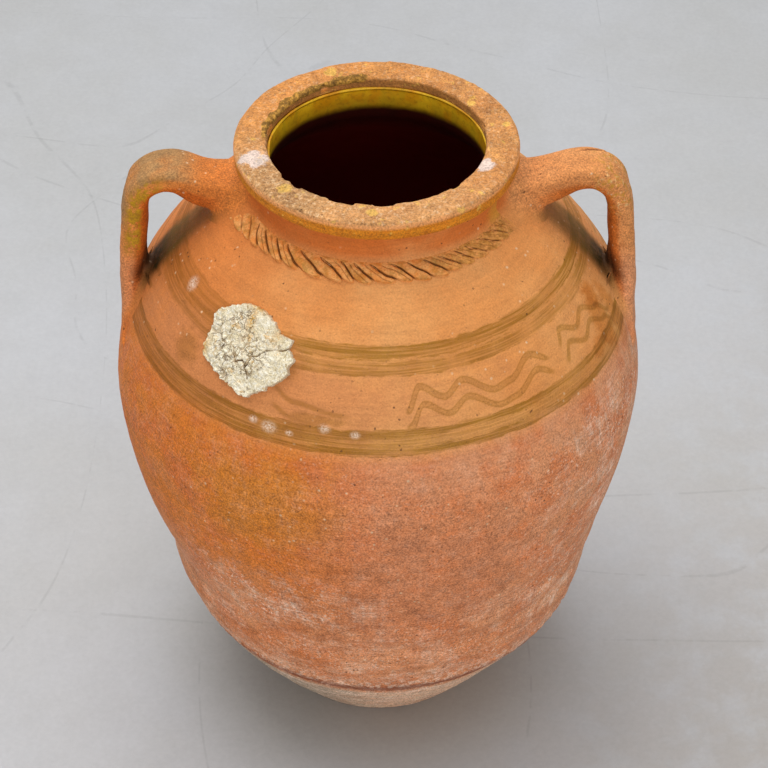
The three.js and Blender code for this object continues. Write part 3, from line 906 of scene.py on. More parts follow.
class Graph:
    """Short helpers to write a material's node tree as formulas."""

    def __init__(self, name):
        self.material = bpy.data.materials.new(name)
        self.material.use_nodes = True
        self.tree = self.material.node_tree
        self.tree.nodes.clear()
        self.shader = self.tree.nodes.new("ShaderNodeBsdfPrincipled")
        surface = self.tree.nodes.new("ShaderNodeOutputMaterial").inputs[0]
        self.tree.links.new(self.shader.outputs[0], surface)
        self.position = self.node("TexCoord", {}, "Object")
        self.x, self.y, self.z = (self.node("SeparateXYZ", {0: self.position}, k) for k in range(3))
        self.turn = self.math("ARCTAN2", self.x, self.y * -1.0)

    def node(self, kind, inputs, output=0, **settings):
        """One output of a new node with the given settings and inputs."""
        node = self.tree.nodes.new("ShaderNode" + kind)
        for name, setting in settings.items():
            setattr(node, name, setting)
        for key, value in inputs.items():
            self.feed(node.inputs[key], value)
        return Value(self, node.outputs[output])

    def feed(self, socket, value):
        if isinstance(value, Value):
            self.tree.links.new(value.socket, socket)
        elif isinstance(value, tuple) and len(socket.default_value) == 4:
            socket.default_value = value + (1.0,) * (4 - len(value))
        else:
            socket.default_value = value

    def math(self, kind, a, b=0.0, c=0.0):
        return self.node("Math", {0: a, 1: b, 2: c}, operation=kind)

    def most(self, *values):
        """The largest of several numbers."""
        largest = values[0]
        for value in values[1:]:
            largest = self.math("MAXIMUM", largest, value)
        return largest

    def step(self, value, low, high):
        """Smooth rise from 0 at low to 1 at high, or fall when low is above high."""
        start, end = (0.0, 1.0) if low < high else (1.0, 0.0)
        limits = {"From Min": min(low, high), "From Max": max(low, high),
                  "To Min": start, "To Max": end}
        return self.node("MapRange", {"Value": value, **limits}, interpolation_type="SMOOTHSTEP")

    def noise(self, size, detail=3.0, rough=0.5, stretch=None, offset=0.0):
        place = self.mapped(stretch, offset)
        return self.node("TexNoise", {"Vector": place, "Scale": 1.0 / size, "Detail": detail,
                                      "Roughness": rough}, "Fac")

    def cell(self, size, offset):
        """Distance from the nearest of scattered points, in cells."""
        place = self.mapped(None, offset)
        return self.node("TexVoronoi", {"Vector": place, "Scale": 1.0 / size}, "Distance")

    def crevice(self, size, wide, shift):
        """1 along the borders of scattered, crooked cells."""
        shaken = self.node("TexNoise", {"Vector": self.position, "Scale": 1.6 / size, "Detail": 4.0},
                           "Color")
        moved = self.node("VectorMath", {0: shaken, 1: (shift,) * 3, 2: self.position},
                          operation="MULTIPLY_ADD")
        border = self.node("TexVoronoi", {"Vector": moved, "Scale": 1.0 / size}, "Distance",
                           feature="DISTANCE_TO_EDGE")
        return self.step(border, wide, 0.0)

    def mapped(self, stretch, offset):
        if stretch is None and not offset:
            return self.position
        place = (offset, offset * 0.7, offset * 1.3)
        return self.node("Mapping", {"Vector": self.position, "Location": place,
                                     "Scale": stretch or (1, 1, 1)})

    def mix(self, amount, a, b, kind="MIX"):
        return self.node("Mix", {0: amount, 6: a, 7: b}, 2, data_type="RGBA", blend_type=kind,
                         clamp_factor=True)

    def tint(self, colour, tint, amount):
        """Colour multiplied by a tint, as far as amount says."""
        return self.mix(amount, colour, tint, "MULTIPLY")

    def scale(self, colour, value):
        return self.node("VectorMath", {0: colour, "Scale": value}, operation="SCALE")

    def attribute(self, name):
        return self.node("Attribute", {}, "Fac", attribute_name=name)

    def away(self, azimuth_deg):
        """Angle from an azimuth, -pi to pi."""
        return self.math("WRAP", self.turn - math.radians(azimuth_deg), math.pi, -math.pi)

    def length(self, u, v):
        return self.math("SQRT", u * u + v * v)

    def spot(self, place, size, ragged):
        """1 near a place in the jar's frame, falling to 0 at its ragged edge."""
        away = self.node("VectorMath", {0: self.position, 1: place}, "Value", operation="DISTANCE")
        return self.step(away * (1 / size) + (ragged - 0.5) * 2.0, 1.25, 0.85)

    def near(self, azimuth_deg, height_mm, wide_mm, tall_mm, soft=0.5, ragged=None, radius_mm=200):
        """A soft spot on the jar's outside, 1 at its middle."""
        across = self.away(azimuth_deg) * (radius_mm / wide_mm)
        up = (self.z - height_mm * MM) * (1000.0 / tall_mm)
        reach = self.length(across, up)
        if ragged is not None:
            reach = reach + (ragged - 0.5) * 1.6
        return self.step(reach, 1.0 + soft, 1.0 - soft)

    def radius(self):
        return self.length(self.x, self.y)

    def bump(self, height, strength, distance):
        return self.node("Bump", {"Strength": strength, "Distance": distance, "Height": height})

    def finish(self, colour, roughness, normal, specular):
        for key, value in (("Base Color", colour), ("Roughness", roughness), ("Normal", normal)):
            self.feed(self.shader.inputs[key], value)
        self.shader.inputs["Specular IOR Level"].default_value = specular
        return self.material


def srgb(*levels):
    """Linear colour of sRGB levels from 0 to 255."""
    return tuple(c / 255 / 12.92 if c / 255 <= 0.04045 else ((c / 255 + 0.055) / 1.055) ** 2.4
                 for c in levels)


CREAM_CLAY = srgb(219, 154, 92)
LIGHT_CLAY = srgb(214, 140, 76)
WARM_CLAY = srgb(202, 118, 55)
MIDDLE_CLAY = srgb(198, 126, 76)
ORANGE_CLAY = srgb(214, 122, 42)
DEEP_CLAY = srgb(200, 106, 42)
OCHRE_CLAY = srgb(198, 124, 40)
PINK_CLAY = srgb(214, 146, 102)
RED_CLAY = srgb(200, 119, 73)
FLUSHED_CLAY = srgb(182, 104, 64)
NECK_CLAY = srgb(200, 100, 32)
FOOT_CLAY = srgb(226, 192, 162)
LIME = srgb(238, 214, 192)
LICHEN = srgb(206, 158, 52)
PALE_CRUST = srgb(234, 204, 166)
DARK_SPECK = srgb(86, 52, 28)
BAND_TINT = (0.50, 0.50, 0.18)
DRIP_TINT = (0.80, 0.64, 0.34)
DULL_TINT = (0.56, 0.68, 0.76)
# Painted shade for the strap's underside.
UNDERSIDE_SHADE_TINT = (0.80, 0.50, 0.18)
# Painted contact shadow for the floor round the jar's foot.
CONTACT_SHADOW_TINT = (0.62, 0.55, 0.48)
# Azimuth in degrees, height, half width and half height in mm, and strength.
SLIP_DRIPS = ((70, 494, 13, 26, 0.85), (77, 482, 10, 30, 0.8),
              (64, 484, 12, 8, 0.7), (72, 515, 9, 12, 0.8))
# Azimuth in degrees, height and size in mm.
LIME_FLECKS = ((-65, 540, 4.5), (-25, 479, 4), (-29, 481, 2.5), (-12, 487, 3), (-5, 484, 2.5),
               (-20, 478, 2))
# Places in the jar's frame and sizes, in metres.
PALE_SPOTS = (((-0.112, -0.033, 0.648), 0.0125), ((0.0965, -0.042, 0.647), 0.0085))
LICHEN_SPOTS = (((0.088, 0.058, 0.648), 0.0045), ((0.119, 0.022, 0.648), 0.004),
                ((-0.083, -0.080, 0.648), 0.006), ((-0.005, -0.116, 0.648), 0.005),
                ((-0.045, 0.110, 0.648), 0.006))
# Olive stain under the handles, deepened with painted shade of the loops.
STAIN_AND_SHADE = srgb(112, 84, 30)
DEEP_STAIN_AND_SHADE = srgb(44, 35, 2)


class Clay:
    """The noises that every clay surface shares, so that neighbouring sections match."""

    def __init__(self, g):
        self.cloud = g.noise(0.10, 4, 0.55)
        self.patch = g.noise(0.034, 5, 0.62, offset=3.1)
        self.fine = g.noise(0.009, 5, 0.66, offset=1.2)
        self.grain = g.noise(0.0017, 2, 0.6, offset=5.2)
        self.wheel = g.noise(0.0030, 3, 0.6, stretch=(0.07, 0.07, 1.0), offset=7.0)
        self.fall = g.noise(0.0040, 3, 0.6, stretch=(1.0, 1.0, 0.14), offset=2.3)


def clay_colour(g, n):
    """Fired clay by place on the jar."""
    z = g.z
    wander = (n.patch - 0.5) * 0.55
    colour = g.mix(g.step(n.cloud, 0.36, 0.66), CREAM_CLAY, LIGHT_CLAY)
    west = g.step(abs(g.away(-95)) + wander, 1.62, 0.50)
    colour = g.mix(west * 0.9, colour, WARM_CLAY)
    between = g.near(-34, 506, 180, 28, 0.5, n.patch)
    colour = g.mix(between * 0.7, colour, MIDDLE_CLAY)
    orange = g.step(abs(g.away(-75)) + wander * 1.1, 1.36, 0.98)
    lower = g.mix(g.step(n.patch, 0.36, 0.66), PINK_CLAY, RED_CLAY)
    left = g.mix(g.step(n.patch, 0.38, 0.66), ORANGE_CLAY, DEEP_CLAY)
    ochre = g.near(-24, 400, 52, 46, 0.6, n.patch)
    left = g.mix(ochre * 0.6, left, OCHRE_CLAY)
    lower = g.mix(orange, lower, left)
    sink = g.step(z + wander * 0.10, 0.33, 0.23)
    ground = g.mix(g.step(g.noise(0.05, 5, 0.62, offset=8.8), 0.34, 0.66), RED_CLAY, PINK_CLAY)
    lower = g.mix(sink * 0.8, lower, ground)
    flushed = g.near(8, 310, 85, 110, 0.6, n.patch)
    lower = g.mix(flushed * (0.20 + g.step(n.patch, 0.60, 0.36) * 0.42), lower, FLUSHED_CLAY)
    colour = g.mix(g.step(z + wander * 0.03, 0.478, 0.455), colour, lower)
    neck = g.step(z, 0.594, 0.606) * g.step(g.radius(), 0.134, 0.122) * g.step(n.cloud, 0.15, 0.5)
    return g.mix(neck * 0.8, colour, NECK_CLAY)


def foot_and_ridge(g, n, colour):
    """Red line on the turning ridge, darkened as painted shade under the ridge, and paler, striated
    clay below it.
    """
    level = g.z - (0.128 + g.math("COSINE", g.turn) * -0.0105)
    # A red band round the ridge, its dark red partly painted shade under the ridge.
    red_band_and_shade = g.step(level, -0.017, -0.008) * g.step(level, 0.012, 0.003)
    colour = g.mix(red_band_and_shade * 0.9, colour, srgb(142, 76, 46))
    foot = g.step(level + (n.fine - 0.5) * 0.008, -0.010, -0.019)
    striped = g.mix(g.step(n.wheel, 0.42, 0.60), FOOT_CLAY, srgb(202, 132, 86))
    dull = foot * g.step(g.x, 0.02, -0.07)
    colour = g.mix(foot * 0.9, colour, striped)
    return g.tint(colour, DULL_TINT, dull), level, foot


def lime_bloom(g, n, colour, level, foot):
    """White lime drawn out of the clay: haze, brushed strokes, flecks and a crust on the ridge."""
    z = g.z
    low = g.step(z, 0.40, 0.10)
    east = g.step(abs(g.away(82)), 1.20, 0.30) * g.step(z, 0.475, 0.42)
    hollow = g.near(-26, 258, 95, 52, 0.6)
    side = g.near(52, 215, 60, 85, 0.6)
    where = g.most(low * 0.72, east * 0.86, hollow * 0.9)
    where = g.most(where, side, g.step(z, 0.475, 0.45) * 0.17)
    broad = g.step(g.noise(0.030, 6, 0.72, offset=8.2), 0.42, 0.66)
    strokes = g.step((n.wheel + n.fall) * 0.5, 0.46, 0.60)
    haze = broad * (0.22 + strokes * 0.55)
    flecks = g.step(g.noise(0.0036, 4, 0.75, offset=2.7), 0.55, 0.64) * g.step(n.patch, 0.36, 0.58)
    total = where * g.most(haze, flecks * 0.95)
    ring = g.step(level, -0.002, 0.006) * g.step(level, 0.034, 0.014)
    crust = ring * g.step(g.noise(0.0060, 5, 0.70, offset=4.6), 0.47, 0.57)
    total = g.most(total, crust * 0.45)
    pale = foot * g.step(n.wheel, 0.48, 0.62)
    total = g.most(total, pale * 0.7)
    return g.mix(total, colour, LIME), total


def add_specks(g, n, colour, dark=0.8, pale=0.6):
    """Scattered dark pores and pale grains."""
    shake = (n.grain - 0.5) * 0.22
    dot = g.step(g.cell(0.0095, offset=1.3) + shake, 0.15, 0.07)
    colour = g.mix(dot * g.step(n.patch, 0.48, 0.60) * dark, colour, DARK_SPECK)
    white = g.step(g.cell(0.011, offset=9.9) + shake, 0.15, 0.06)
    return g.mix(white * g.step(n.cloud, 0.48, 0.58) * pale, colour, PALE_CRUST)


def grained(g, n, colour, amount=1.0):
    """Light and dark grains of sand and the marks of turning, rougher low on the jar."""
    rough_part = 0.55 + g.step(g.z, 0.50, 0.40) * 1.30
    grain = (n.grain - 0.5) * (1.1 * amount) * rough_part
    grain = grain + (n.fine - 0.5) * (0.50 * amount) * rough_part
    grain = grain + (n.wheel - 0.5) * (0.36 * amount)
    grain = grain + (n.patch - 0.5) * 0.30 * rough_part
    return g.scale(colour, grain + 1.0)


def clay_bump(g, n, strength=0.6):
    """Fine grain and pores, too small for the mesh."""
    height = n.grain * 0.55 + (n.fine * 0.9 + n.wheel * 0.5)
    pores = g.step(g.cell(0.0042, offset=0.6), 0.32, 0.05)
    return g.bump(height + pores * -0.5, strength, 0.0011)


def finish_clay(g, n, colour, lime=0.0, strength=0.6):
    roughness = 0.56 + n.fine * 0.22 + lime * 0.25
    return g.finish(colour, roughness, clay_bump(g, n, strength), 0.2)


def slip_bands(g, n):
    """How much olive-brown slip the turned bands hold, 0 to 1."""
    drift = (g.noise(0.09, 2, 0.5, offset=3.3) - 0.5) * 0.0050
    ragged = (g.noise(0.0035, 3, 0.6, stretch=(0.25, 0.25, 1.0), offset=6.6) - 0.5) * 0.0060
    h = g.z + (drift + ragged)
    hairs = g.noise(0.0014, 3, 0.6, stretch=(0.02, 0.02, 1.0), offset=2.2)
    worn = g.step(g.noise(0.05, 3, 0.6, offset=1.9), 0.34, 0.56)

    def line(low, high, soft=0.0008):
        return g.step(h, low - soft, low + soft) * g.step(h, high + soft, high - soft)

    west = g.step(abs(g.away(-60)) + (n.patch - 0.5) * 0.3, 0.72, 0.55)
    first = line(0.5395, 0.5492) * (0.95 + west * -0.45)
    second = line(0.5280, 0.5378) * (0.42 + worn * 0.38)
    upper = g.most(first, second, line(0.528, 0.549) * 0.30)
    upper = g.most(upper, line(0.520, 0.545, 0.003) * west * 0.62)
    front = g.step(abs(g.away(-30)), 1.05, 0.45)
    body = line(0.4665, 0.4885) * (0.50 + front * 0.30)
    edges = g.most(line(0.4668, 0.4735), line(0.4822, 0.4882))
    lower = g.most(body, edges * (0.80 + worn * 0.20))
    streak = 0.45 + g.step(hairs + (n.grain - 0.5) * 0.3, 0.36, 0.60) * 0.62
    return g.most(upper, lower) * streak


def painted_shoulder(g, n, colour):
    """Slip bands, wavy lines, smudges, and the drips of slip on the right."""
    brushed = g.attribute("wave") + ((n.fine - 0.5) * 0.5 + (n.grain - 0.5) * 0.5)
    wave = g.step(brushed, 0.08, 0.60) * (0.75 + g.step(brushed, 0.60, 0.95) * -0.30)
    smudge = g.near(-54, 505, 14, 12, 0.5, n.fine) * 0.5
    tail = g.near(-14, 493, 26, 3.5, 0.5, n.fine) * 0.5
    slip = g.most(slip_bands(g, n) * 0.98, wave * 0.85, smudge, tail)
    colour = g.tint(colour, BAND_TINT, slip)
    for azimuth, height, wide, tall, amount in SLIP_DRIPS:
        drip = g.near(azimuth, height, wide, tall, 0.4, n.fine)
        colour = g.tint(colour, DRIP_TINT, drip * amount)
    return colour


def handle_stain_and_shade(g, n, colour):
    """The dark stain and painted shade on the shoulder under the loop of each handle."""
    across = abs(g.y + (n.patch - 0.5) * 0.014)
    strip = g.step(across, 0.031, 0.013) * (g.step(g.z, 0.488, 0.512) * g.step(g.z, 0.592, 0.570))
    # Painted shade: the strip under each loop is darkened as the loop's shade, nearly black low down.
    stain_and_shade_colour = g.mix(g.step(g.z + (n.fine - 0.5) * 0.02, 0.535, 0.510), STAIN_AND_SHADE, DEEP_STAIN_AND_SHADE)
    strength = (0.80 + g.step(n.fine, 0.38, 0.62) * 0.20) * g.step(g.z, 0.625, 0.525)
    return g.mix(strip * strength, colour, stain_and_shade_colour)


def lime_flecks(g, n, colour):
    """The few large white flecks between the bands, and a touch of lichen by the right handle."""
    for azimuth, height, size in LIME_FLECKS:
        fleck = g.near(azimuth, height, 1.3 * size, size, 0.8, (n.fine + n.grain) * 0.5)
        colour = g.mix(fleck * (g.step(n.grain, 0.30, 0.62) * 0.7), colour, LIME)
    lichen = g.near(64, 605, 13, 14, 0.7, n.fine, radius_mm=118)
    return g.mix(lichen * 0.5, colour, LICHEN)


def wall_material(name, shoulder=False):
    g = Graph(name)
    n = Clay(g)
    colour, level, foot = foot_and_ridge(g, n, clay_colour(g, n))
    if shoulder:
        colour = painted_shoulder(g, n, colour)
    colour = handle_stain_and_shade(g, n, colour)
    colour, lime = lime_bloom(g, n, colour, level, foot)
    colour = add_specks(g, n, lime_flecks(g, n, colour))
    return finish_clay(g, n, grained(g, n, colour), lime)


def rim_material():
    """Weathered rim: crusted top, ochre side, bare clay inside."""
    g = Graph("weathered_rim_clay")
    n = Clay(g)
    blotch = g.noise(0.012, 5, 0.68, offset=2.0)
    flakes = g.noise(0.0042, 4, 0.7, offset=4.0)
    top = g.step(g.z + (n.fine - 0.5) * 0.002, 0.6430, 0.6462)
    colour = g.mix(g.step(n.patch, 0.38, 0.62), srgb(204, 142, 80), srgb(192, 128, 70))
    back = g.step(abs(g.away(-140)), 1.5, 0.6)
    colour = g.mix(back * 0.6, colour, srgb(206, 136, 68))
    front = g.step(abs(g.away(-20)), 1.5, 0.8)
    colour = g.mix(front * 0.6, colour, srgb(206, 152, 98))
    colour = g.mix(g.step(blotch, 0.46, 0.64) * 0.55, colour, srgb(172, 116, 68))
    colour = g.mix(g.step(flakes, 0.52, 0.66) * (0.25 + front * 0.15), colour, PALE_CRUST)
    colour = g.mix(g.step(flakes, 0.45, 0.33) * 0.55, colour, srgb(140, 92, 52))
    corner = g.near(-50, 648, 62, 30, 0.5, n.fine, radius_mm=118)
    grey = g.mix(g.step(flakes, 0.42, 0.62), srgb(122, 96, 60), srgb(206, 178, 136))
    colour = g.mix(corner * 0.34, colour, grey)
    side = g.mix(g.step(n.fine, 0.38, 0.66), srgb(214, 132, 26), srgb(190, 110, 22))
    side = g.mix(g.step(g.z, 0.6385, 0.6425) * 0.8, side, srgb(224, 156, 100))
    inside = g.step(g.radius(), 0.1035, 0.1018)
    side = g.mix(inside, side, srgb(178, 118, 58))
    colour = g.mix(top, side, colour)
    for spot in PALE_SPOTS:
        colour = g.mix(g.spot(*spot, ragged=n.fine) * 0.75, colour, srgb(218, 202, 194))
    lichen = g.step(g.noise(0.010, 4, 0.62, offset=3.3), 0.61, 0.67) * 0.6
    for spot in LICHEN_SPOTS:
        lichen = g.most(lichen, g.spot(*spot, ragged=n.fine) * 0.7)
    colour = g.mix(lichen, colour, srgb(224, 178, 84))
    crust = g.step(g.attribute("crust") + (n.fine - 0.5) * 1.1, 0.30, 0.60)
    crust_colour = g.mix(g.step(flakes, 0.44, 0.60), srgb(122, 88, 30), srgb(190, 140, 56))
    colour = g.mix(crust * 0.9, colour, crust_colour)
    dark = g.step(g.noise(0.0026, 3, 0.7, offset=6.6), 0.60, 0.68) * (0.45 + corner * 0.4)
    colour = g.mix(dark, colour, DARK_SPECK)
    colour = grained(g, n, colour, 2.6)
    height = n.fine * 0.9 + (flakes * 0.9 + n.grain * 0.6)
    return g.finish(colour, 0.70 + n.fine * 0.25, g.bump(height, 0.8, 0.0013), 0.3)


def handle_material():
    """Strap clay with lichen, stains and wear, merging into the wall's clay at both ends, with painted
    shade on its underside and in the cleft at its tail.
    """
    g = Graph("handle_clay")
    n = Clay(g)
    place = g.attribute("place")
    facing = g.attribute("facing")
    near = g.attribute("near_wall")
    left = g.step(g.x, 0.02, -0.02)
    tone = g.mix(left, srgb(214, 146, 88), srgb(210, 130, 62))
    darker = g.mix(left, srgb(200, 130, 74), srgb(196, 114, 48))
    colour = g.mix(g.step(n.cloud, 0.36, 0.64), tone, darker)
    outer = g.step(facing, 0.60, 0.80)
    bend = g.step(place, 0.18, 0.30) * g.step(place, 0.62, 0.48)
    grey = outer * bend * (left * (0.45 + g.step(n.patch, 0.35, 0.6) * 0.50))
    colour = g.mix(grey, colour, srgb(156, 118, 74))
    tail = g.step(place, 0.60, 0.75)
    colour = g.mix(tail * 0.75, colour, g.mix(left, srgb(214, 146, 104), srgb(208, 134, 88)))
    # Painted shade: the strap's inner face and underside are darkened, most along the loop past its
    # upper root.
    inner = g.step(facing + (n.fine - 0.5) * 0.25, 0.50, 0.24)
    colour = g.tint(colour, UNDERSIDE_SHADE_TINT, inner * (0.05 + g.step(place, 0.08, 0.22) * 0.8))
    flank = g.step(facing, 0.12, 0.30) * g.step(facing, 0.92, 0.66)
    spread = g.step(place, 0.28, 0.40) * g.step(place, 0.70, 0.60)
    patchy = g.step(g.noise(0.007, 5, 0.75, offset=4.0), 0.40, 0.54)
    lichen = flank * spread * (left * patchy) * 0.92
    light = g.step(place, 0.30, 0.36) * g.step(place, 0.52, 0.46) * (1.0 - left)
    specks = g.step(g.noise(0.007, 5, 0.75, offset=6.1), 0.50, 0.62)
    lichen = g.most(lichen, light * specks * 0.62)
    yellow = g.mix(g.step(n.grain, 0.40, 0.60), srgb(206, 158, 26), srgb(142, 104, 22))
    colour = g.mix(lichen, colour, yellow)
    pale = light * g.step(g.noise(0.004, 4, 0.7, offset=7.7), 0.55, 0.66) * 0.6
    colour = g.mix(pale, colour, srgb(220, 186, 130))
    plain = clay_colour(g, n)
    # The stain and painted shade under the loop, carried on to the strap's underside near the wall.
    stain = g.step(abs(g.y), 0.036, 0.020) * g.step(facing, 0.40, 0.20)
    plain = g.mix(stain * (g.step(g.z, 0.60, 0.57) * (0.35 + n.fine * 0.5)), plain, STAIN_AND_SHADE)
    colour = g.mix(near * 0.9, colour, plain)
    # Painted shade and dirt darken the cleft between the strap's tail and the shoulder.
    colour = g.mix(g.attribute("cleft_shade_and_dirt") * 0.95, colour, srgb(44, 24, 9))
    colour = g.mix(g.attribute("crack") * 0.95, colour, srgb(96, 30, 8))
    colour = add_specks(g, n, colour)
    free = 1.0 - near
    sand = ((n.grain - 0.5) * 1.3 + (n.fine - 0.5) * 0.5) * free
    colour = g.scale(grained(g, n, colour), sand + 1.0)
    return finish_clay(g, n, colour, 0.0, 0.7)


def cord_material():
    """Cord clay, darkened with dirt and painted shade in its grooves and under its lobes, and worn on
    the right.
    """
    g = Graph("cord_clay")
    n = Clay(g)
    colour = g.mix(g.step(n.fine, 0.40, 0.62), srgb(230, 160, 92), srgb(214, 132, 62))
    worn = g.attribute("worn")
    dull = g.mix(g.step(n.fine, 0.42, 0.6), srgb(208, 144, 66), srgb(226, 158, 90))
    colour = g.mix(worn * 0.75, colour, dull)
    dirt = g.step(g.noise(0.008, 4, 0.65, offset=5.0), 0.46, 0.60) * 0.55
    colour = g.mix(dirt, colour, srgb(172, 112, 40))
    green = g.step(g.noise(0.016, 3, 0.6, offset=9.0), 0.58, 0.66) * 0.25
    colour = g.mix(green, colour, srgb(170, 146, 70))
    colour = g.mix(g.attribute("pit") * 0.4, colour, srgb(130, 80, 26))
    # Dirt and painted shade: the grooves and the feet of the lobes are darkened.
    groove = g.step(g.attribute("groove") + (n.grain - 0.5) * 0.3, 0.12, 0.58)
    colour = g.mix(groove * 0.84, colour, srgb(108, 58, 16))
    plain = clay_colour(g, n)
    colour = g.mix(g.step(g.attribute("raised"), 0.02, 0.35), plain, colour)
    return finish_clay(g, n, grained(g, n, colour, 1.5), 0.3, 0.7)


def glaze_material():
    """Yellow glaze at the neck, darkened lower down as painted shade, over an inside painted nearly
    black as shade.
    """
    g = Graph("lead_glaze")
    cloud = g.noise(0.028, 4, 0.55)
    fine = g.noise(0.004, 4, 0.6, offset=2.0)
    drip = g.noise(0.016, 3, 0.5, stretch=(1, 1, 0.3), offset=3.0)
    neck = g.mix(g.step(cloud, 0.38, 0.64), srgb(240, 190, 30), srgb(222, 152, 14))
    neck = g.mix(g.step(drip, 0.45, 0.62) * 0.5, neck, srgb(206, 172, 28))
    neck = g.mix(g.step(fine, 0.50, 0.64) * 0.35, neck, srgb(160, 112, 20))
    # Painted shade: the neck's glaze darkens lower down, towards the dark inside.
    neck = g.scale(neck, 0.62 + g.step(g.z, 0.616, 0.632) * 0.38)
    # Painted shade: the glaze below the neck is nearly black under the throat and dark red lower down,
    # where little light reaches.
    shaded_deep_glaze = g.mix(g.step(cloud, 0.4, 0.6), srgb(50, 10, 4), srgb(42, 8, 3))
    edge = g.z + (cloud - 0.5) * 0.006
    shaded_deep_glaze = g.mix(g.step(g.z, 0.600, 0.560), shaded_deep_glaze, srgb(124, 22, 8))
    colour = g.mix(g.step(edge, 0.609, 0.619), shaded_deep_glaze, neck)
    return g.finish(colour, 0.30 + cloud * 0.25, g.bump(cloud + fine, 0.25, 0.0006), 0.4)


def mortar_material():
    """Pale crazed mortar with ochre stains."""
    g = Graph("lime_mortar")
    cloud = g.noise(0.018, 5, 0.62)
    fine = g.noise(0.0030, 4, 0.68)
    grain = g.noise(0.0014, 2, 0.6, offset=4.0)
    colour = g.mix(g.step(cloud, 0.36, 0.64), srgb(232, 220, 192), srgb(218, 203, 168))
    colour = g.mix(g.step(fine, 0.46, 0.62) * 0.6, colour, srgb(247, 243, 230))
    crazing = g.crevice(0.0080, 0.050, 0.008) * g.step(g.attribute("crazed"), 0.15, 0.60)
    broken = crazing * g.step(g.noise(0.008, 3, 0.6, offset=3.0), 0.40, 0.52)
    stain = g.step(g.noise(0.010, 4, 0.68, offset=6.3), 0.59, 0.66) * 0.6
    ochre = g.attribute("ochre") * g.step(fine, 0.40, 0.54)
    colour = g.mix(g.most(stain, ochre * 0.95), colour, srgb(206, 158, 78))
    dark = g.most(g.attribute("crack") * 0.80, broken * 0.85)
    colour = g.mix(dark, colour, srgb(150, 112, 64))
    colour = g.mix(g.attribute("hole") * 0.5, colour, srgb(156, 130, 88))
    colour = g.mix(g.attribute("edge") * 0.45, colour, srgb(160, 120, 66))
    colour = g.scale(colour, 1.0 + (grain - 0.5) * 1.3)
    height = fine + grain * 0.6 + broken * -1.6
    return g.finish(colour, 0.9, g.bump(height, 0.75, 0.0014), 0.2)


def floor_material():
    """Pale studio floor with hairline scratches, painted darker and warmer to the right as the jar's
    shadow, and with a painted contact shadow round the jar's foot.
    """
    g = Graph("pale_floor")
    cloud = g.noise(0.35, 5, 0.6)
    mottle = g.noise(0.05, 5, 0.65, offset=1.0)
    fine = g.noise(0.006, 4, 0.7, offset=2.0)
    colour = g.mix(g.step(cloud, 0.3, 0.7), srgb(190, 191, 194), srgb(184, 184, 184))
    # Painted shadow: the floor to the right and front of the jar is darker and warmer.
    painted_shadow_right = g.step(g.x + g.y * -0.4, 0.0, 0.9) * g.step(mottle, 0.30, 0.60)
    colour = g.mix(painted_shadow_right * 0.75, colour, srgb(160, 148, 134))
    # Painted contact shadow: the floor darkens round the jar's foot.
    colour = g.tint(colour, CONTACT_SHADOW_TINT, g.step(g.radius(), 0.26, 0.11) * 0.85)
    value = 1.0 + (mottle - 0.5) * 0.10
    value = value + (fine - 0.5) * 0.20
    for offset, stretch in ((3.0, (0.5, 1.6, 1.0)), (7.0, (1.7, 0.4, 1.0)), (11.0, (1.0, 1.1, 1.0))):
        line = abs(g.noise(0.9, 2, 0.4, stretch=stretch, offset=offset) - 0.5)
        scratch = g.step(line, 0.0016, 0.0004) * g.step(mottle, 0.44, 0.56)
        value = value + scratch * -0.10
    return g.finish(g.scale(colour, value), 0.7, g.bump(fine, 0.15, 0.001), 0.3)


# ---------------------------------------------------------------- camera, lights and floor

SENSOR = 36
FOCAL = 2600 / 768 * SENSOR
PITCH = math.radians(40.2)
EYE = (0.0058, -1.970, 2.0163)
LIT = (0, 0, 0.3)
FLOOR_HALF = 6.0


def add_camera():
    data = bpy.data.cameras.new("camera")
    data.sensor_width = SENSOR
    data.lens = FOCAL
    data.clip_end = 50
    camera = bpy.data.objects.new("camera", data)
    camera.location = EYE
    camera.rotation_euler = (math.pi / 2 - PITCH, 0, 0)
    bpy.context.scene.collection.objects.link(camera)
    bpy.context.scene.camera = camera


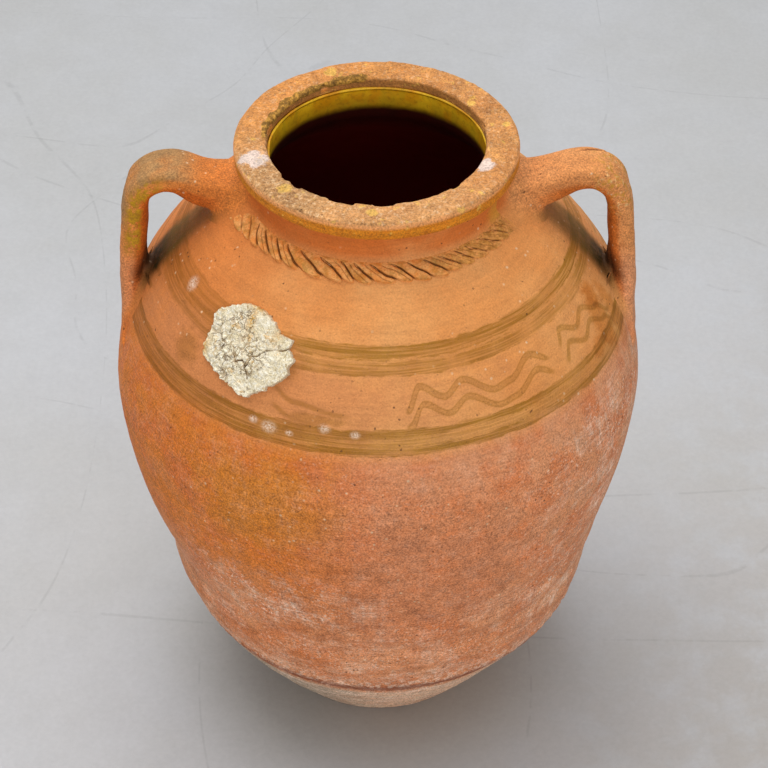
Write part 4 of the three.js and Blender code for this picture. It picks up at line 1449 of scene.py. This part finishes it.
def add_area(name, place, size, power, colour):
    """A square lamp that points at the jar."""
    data = bpy.data.lights.new(name, "AREA")
    data.shape = "RECTANGLE"
    data.size = data.size_y = size
    data.energy = power
    data.color = colour
    lamp = bpy.data.objects.new(name, data)
    lamp.location = place
    direction = np.array(LIT, float) - np.array(place, float)
    direction /= np.linalg.norm(direction)
    yaw = math.atan2(-direction[0], direction[1])
    tilt = math.acos(max(-1, min(1, -direction[2])))
    lamp.rotation_euler = (tilt, 0, yaw)
    bpy.context.scene.collection.objects.link(lamp)


def add_lights():
    world = bpy.data.worlds.new("studio")
    world.use_nodes = True
    background = world.node_tree.nodes["Background"]
    background.inputs[0].default_value = (0.96, 0.98, 1.0, 1)
    background.inputs[1].default_value = 0.60
    bpy.context.scene.world = world
    add_area("overhead", (-0.45, 0.65, 2.9), 2.2, 54, (1.0, 0.99, 0.97))
    add_area("front", (0.5, -3.1, 1.5), 1.8, 36, (1.0, 0.98, 0.96))


def add_floor():
    points = [(x, y, 0) for y in (-FLOOR_HALF, FLOOR_HALF) for x in (-FLOOR_HALF, FLOOR_HALF)]
    floor = make_mesh("studio_floor", points, grid_quads(2, 2, wrap_cols=False))
    floor.data.materials.append(floor_material())


# ---------------------------------------------------------------- build

bpy.context.scene.view_settings.view_transform = "Standard"
MATERIALS = {
    "foot": wall_material("foot_clay"),
    "lower": wall_material("lower_wall_clay"),
    "belly": wall_material("belly_clay"),
    "shoulder": wall_material("shoulder_clay", shoulder=True),
    "neck": wall_material("neck_clay"),
    "rim": rim_material(),
    "handle": handle_material(),
    "cord": cord_material(),
    "glaze": glaze_material(),
    "mortar": mortar_material(),
}
wall_piece("foot_and_floor", 0.0, FOOT_SEAM, 52, "base_section", "foot")
wall_piece("lower_body_wall", FOOT_SEAM, WAIST_SEAM, 50, "lower_wall", "lower")
wall_piece("belly_body_wall", WAIST_SEAM, BELLY_SEAM, 112, "belly_wall", "belly")
wall_piece("shoulder_body_wall", BELLY_SEAM, NECK_SEAM, 108, "shoulder_wall", "shoulder")
wall_piece("neck_wall", NECK_SEAM, RIM_SEAM, 28, "neck_collar", "neck")
rim_piece()
glaze_piece()
handle_pieces("left", LEFT_STRAP, -1, 201)
handle_pieces("right", RIGHT_STRAP, 1, 231)
cord_piece("front_cord_band", "front_cord", -83, 67, 251, 18, -64)
cord_piece("rear_cord_band", "rear_cord", 108, 250, 271, 150, 112)
mortar_piece()
add_floor()
add_camera()
add_lights()
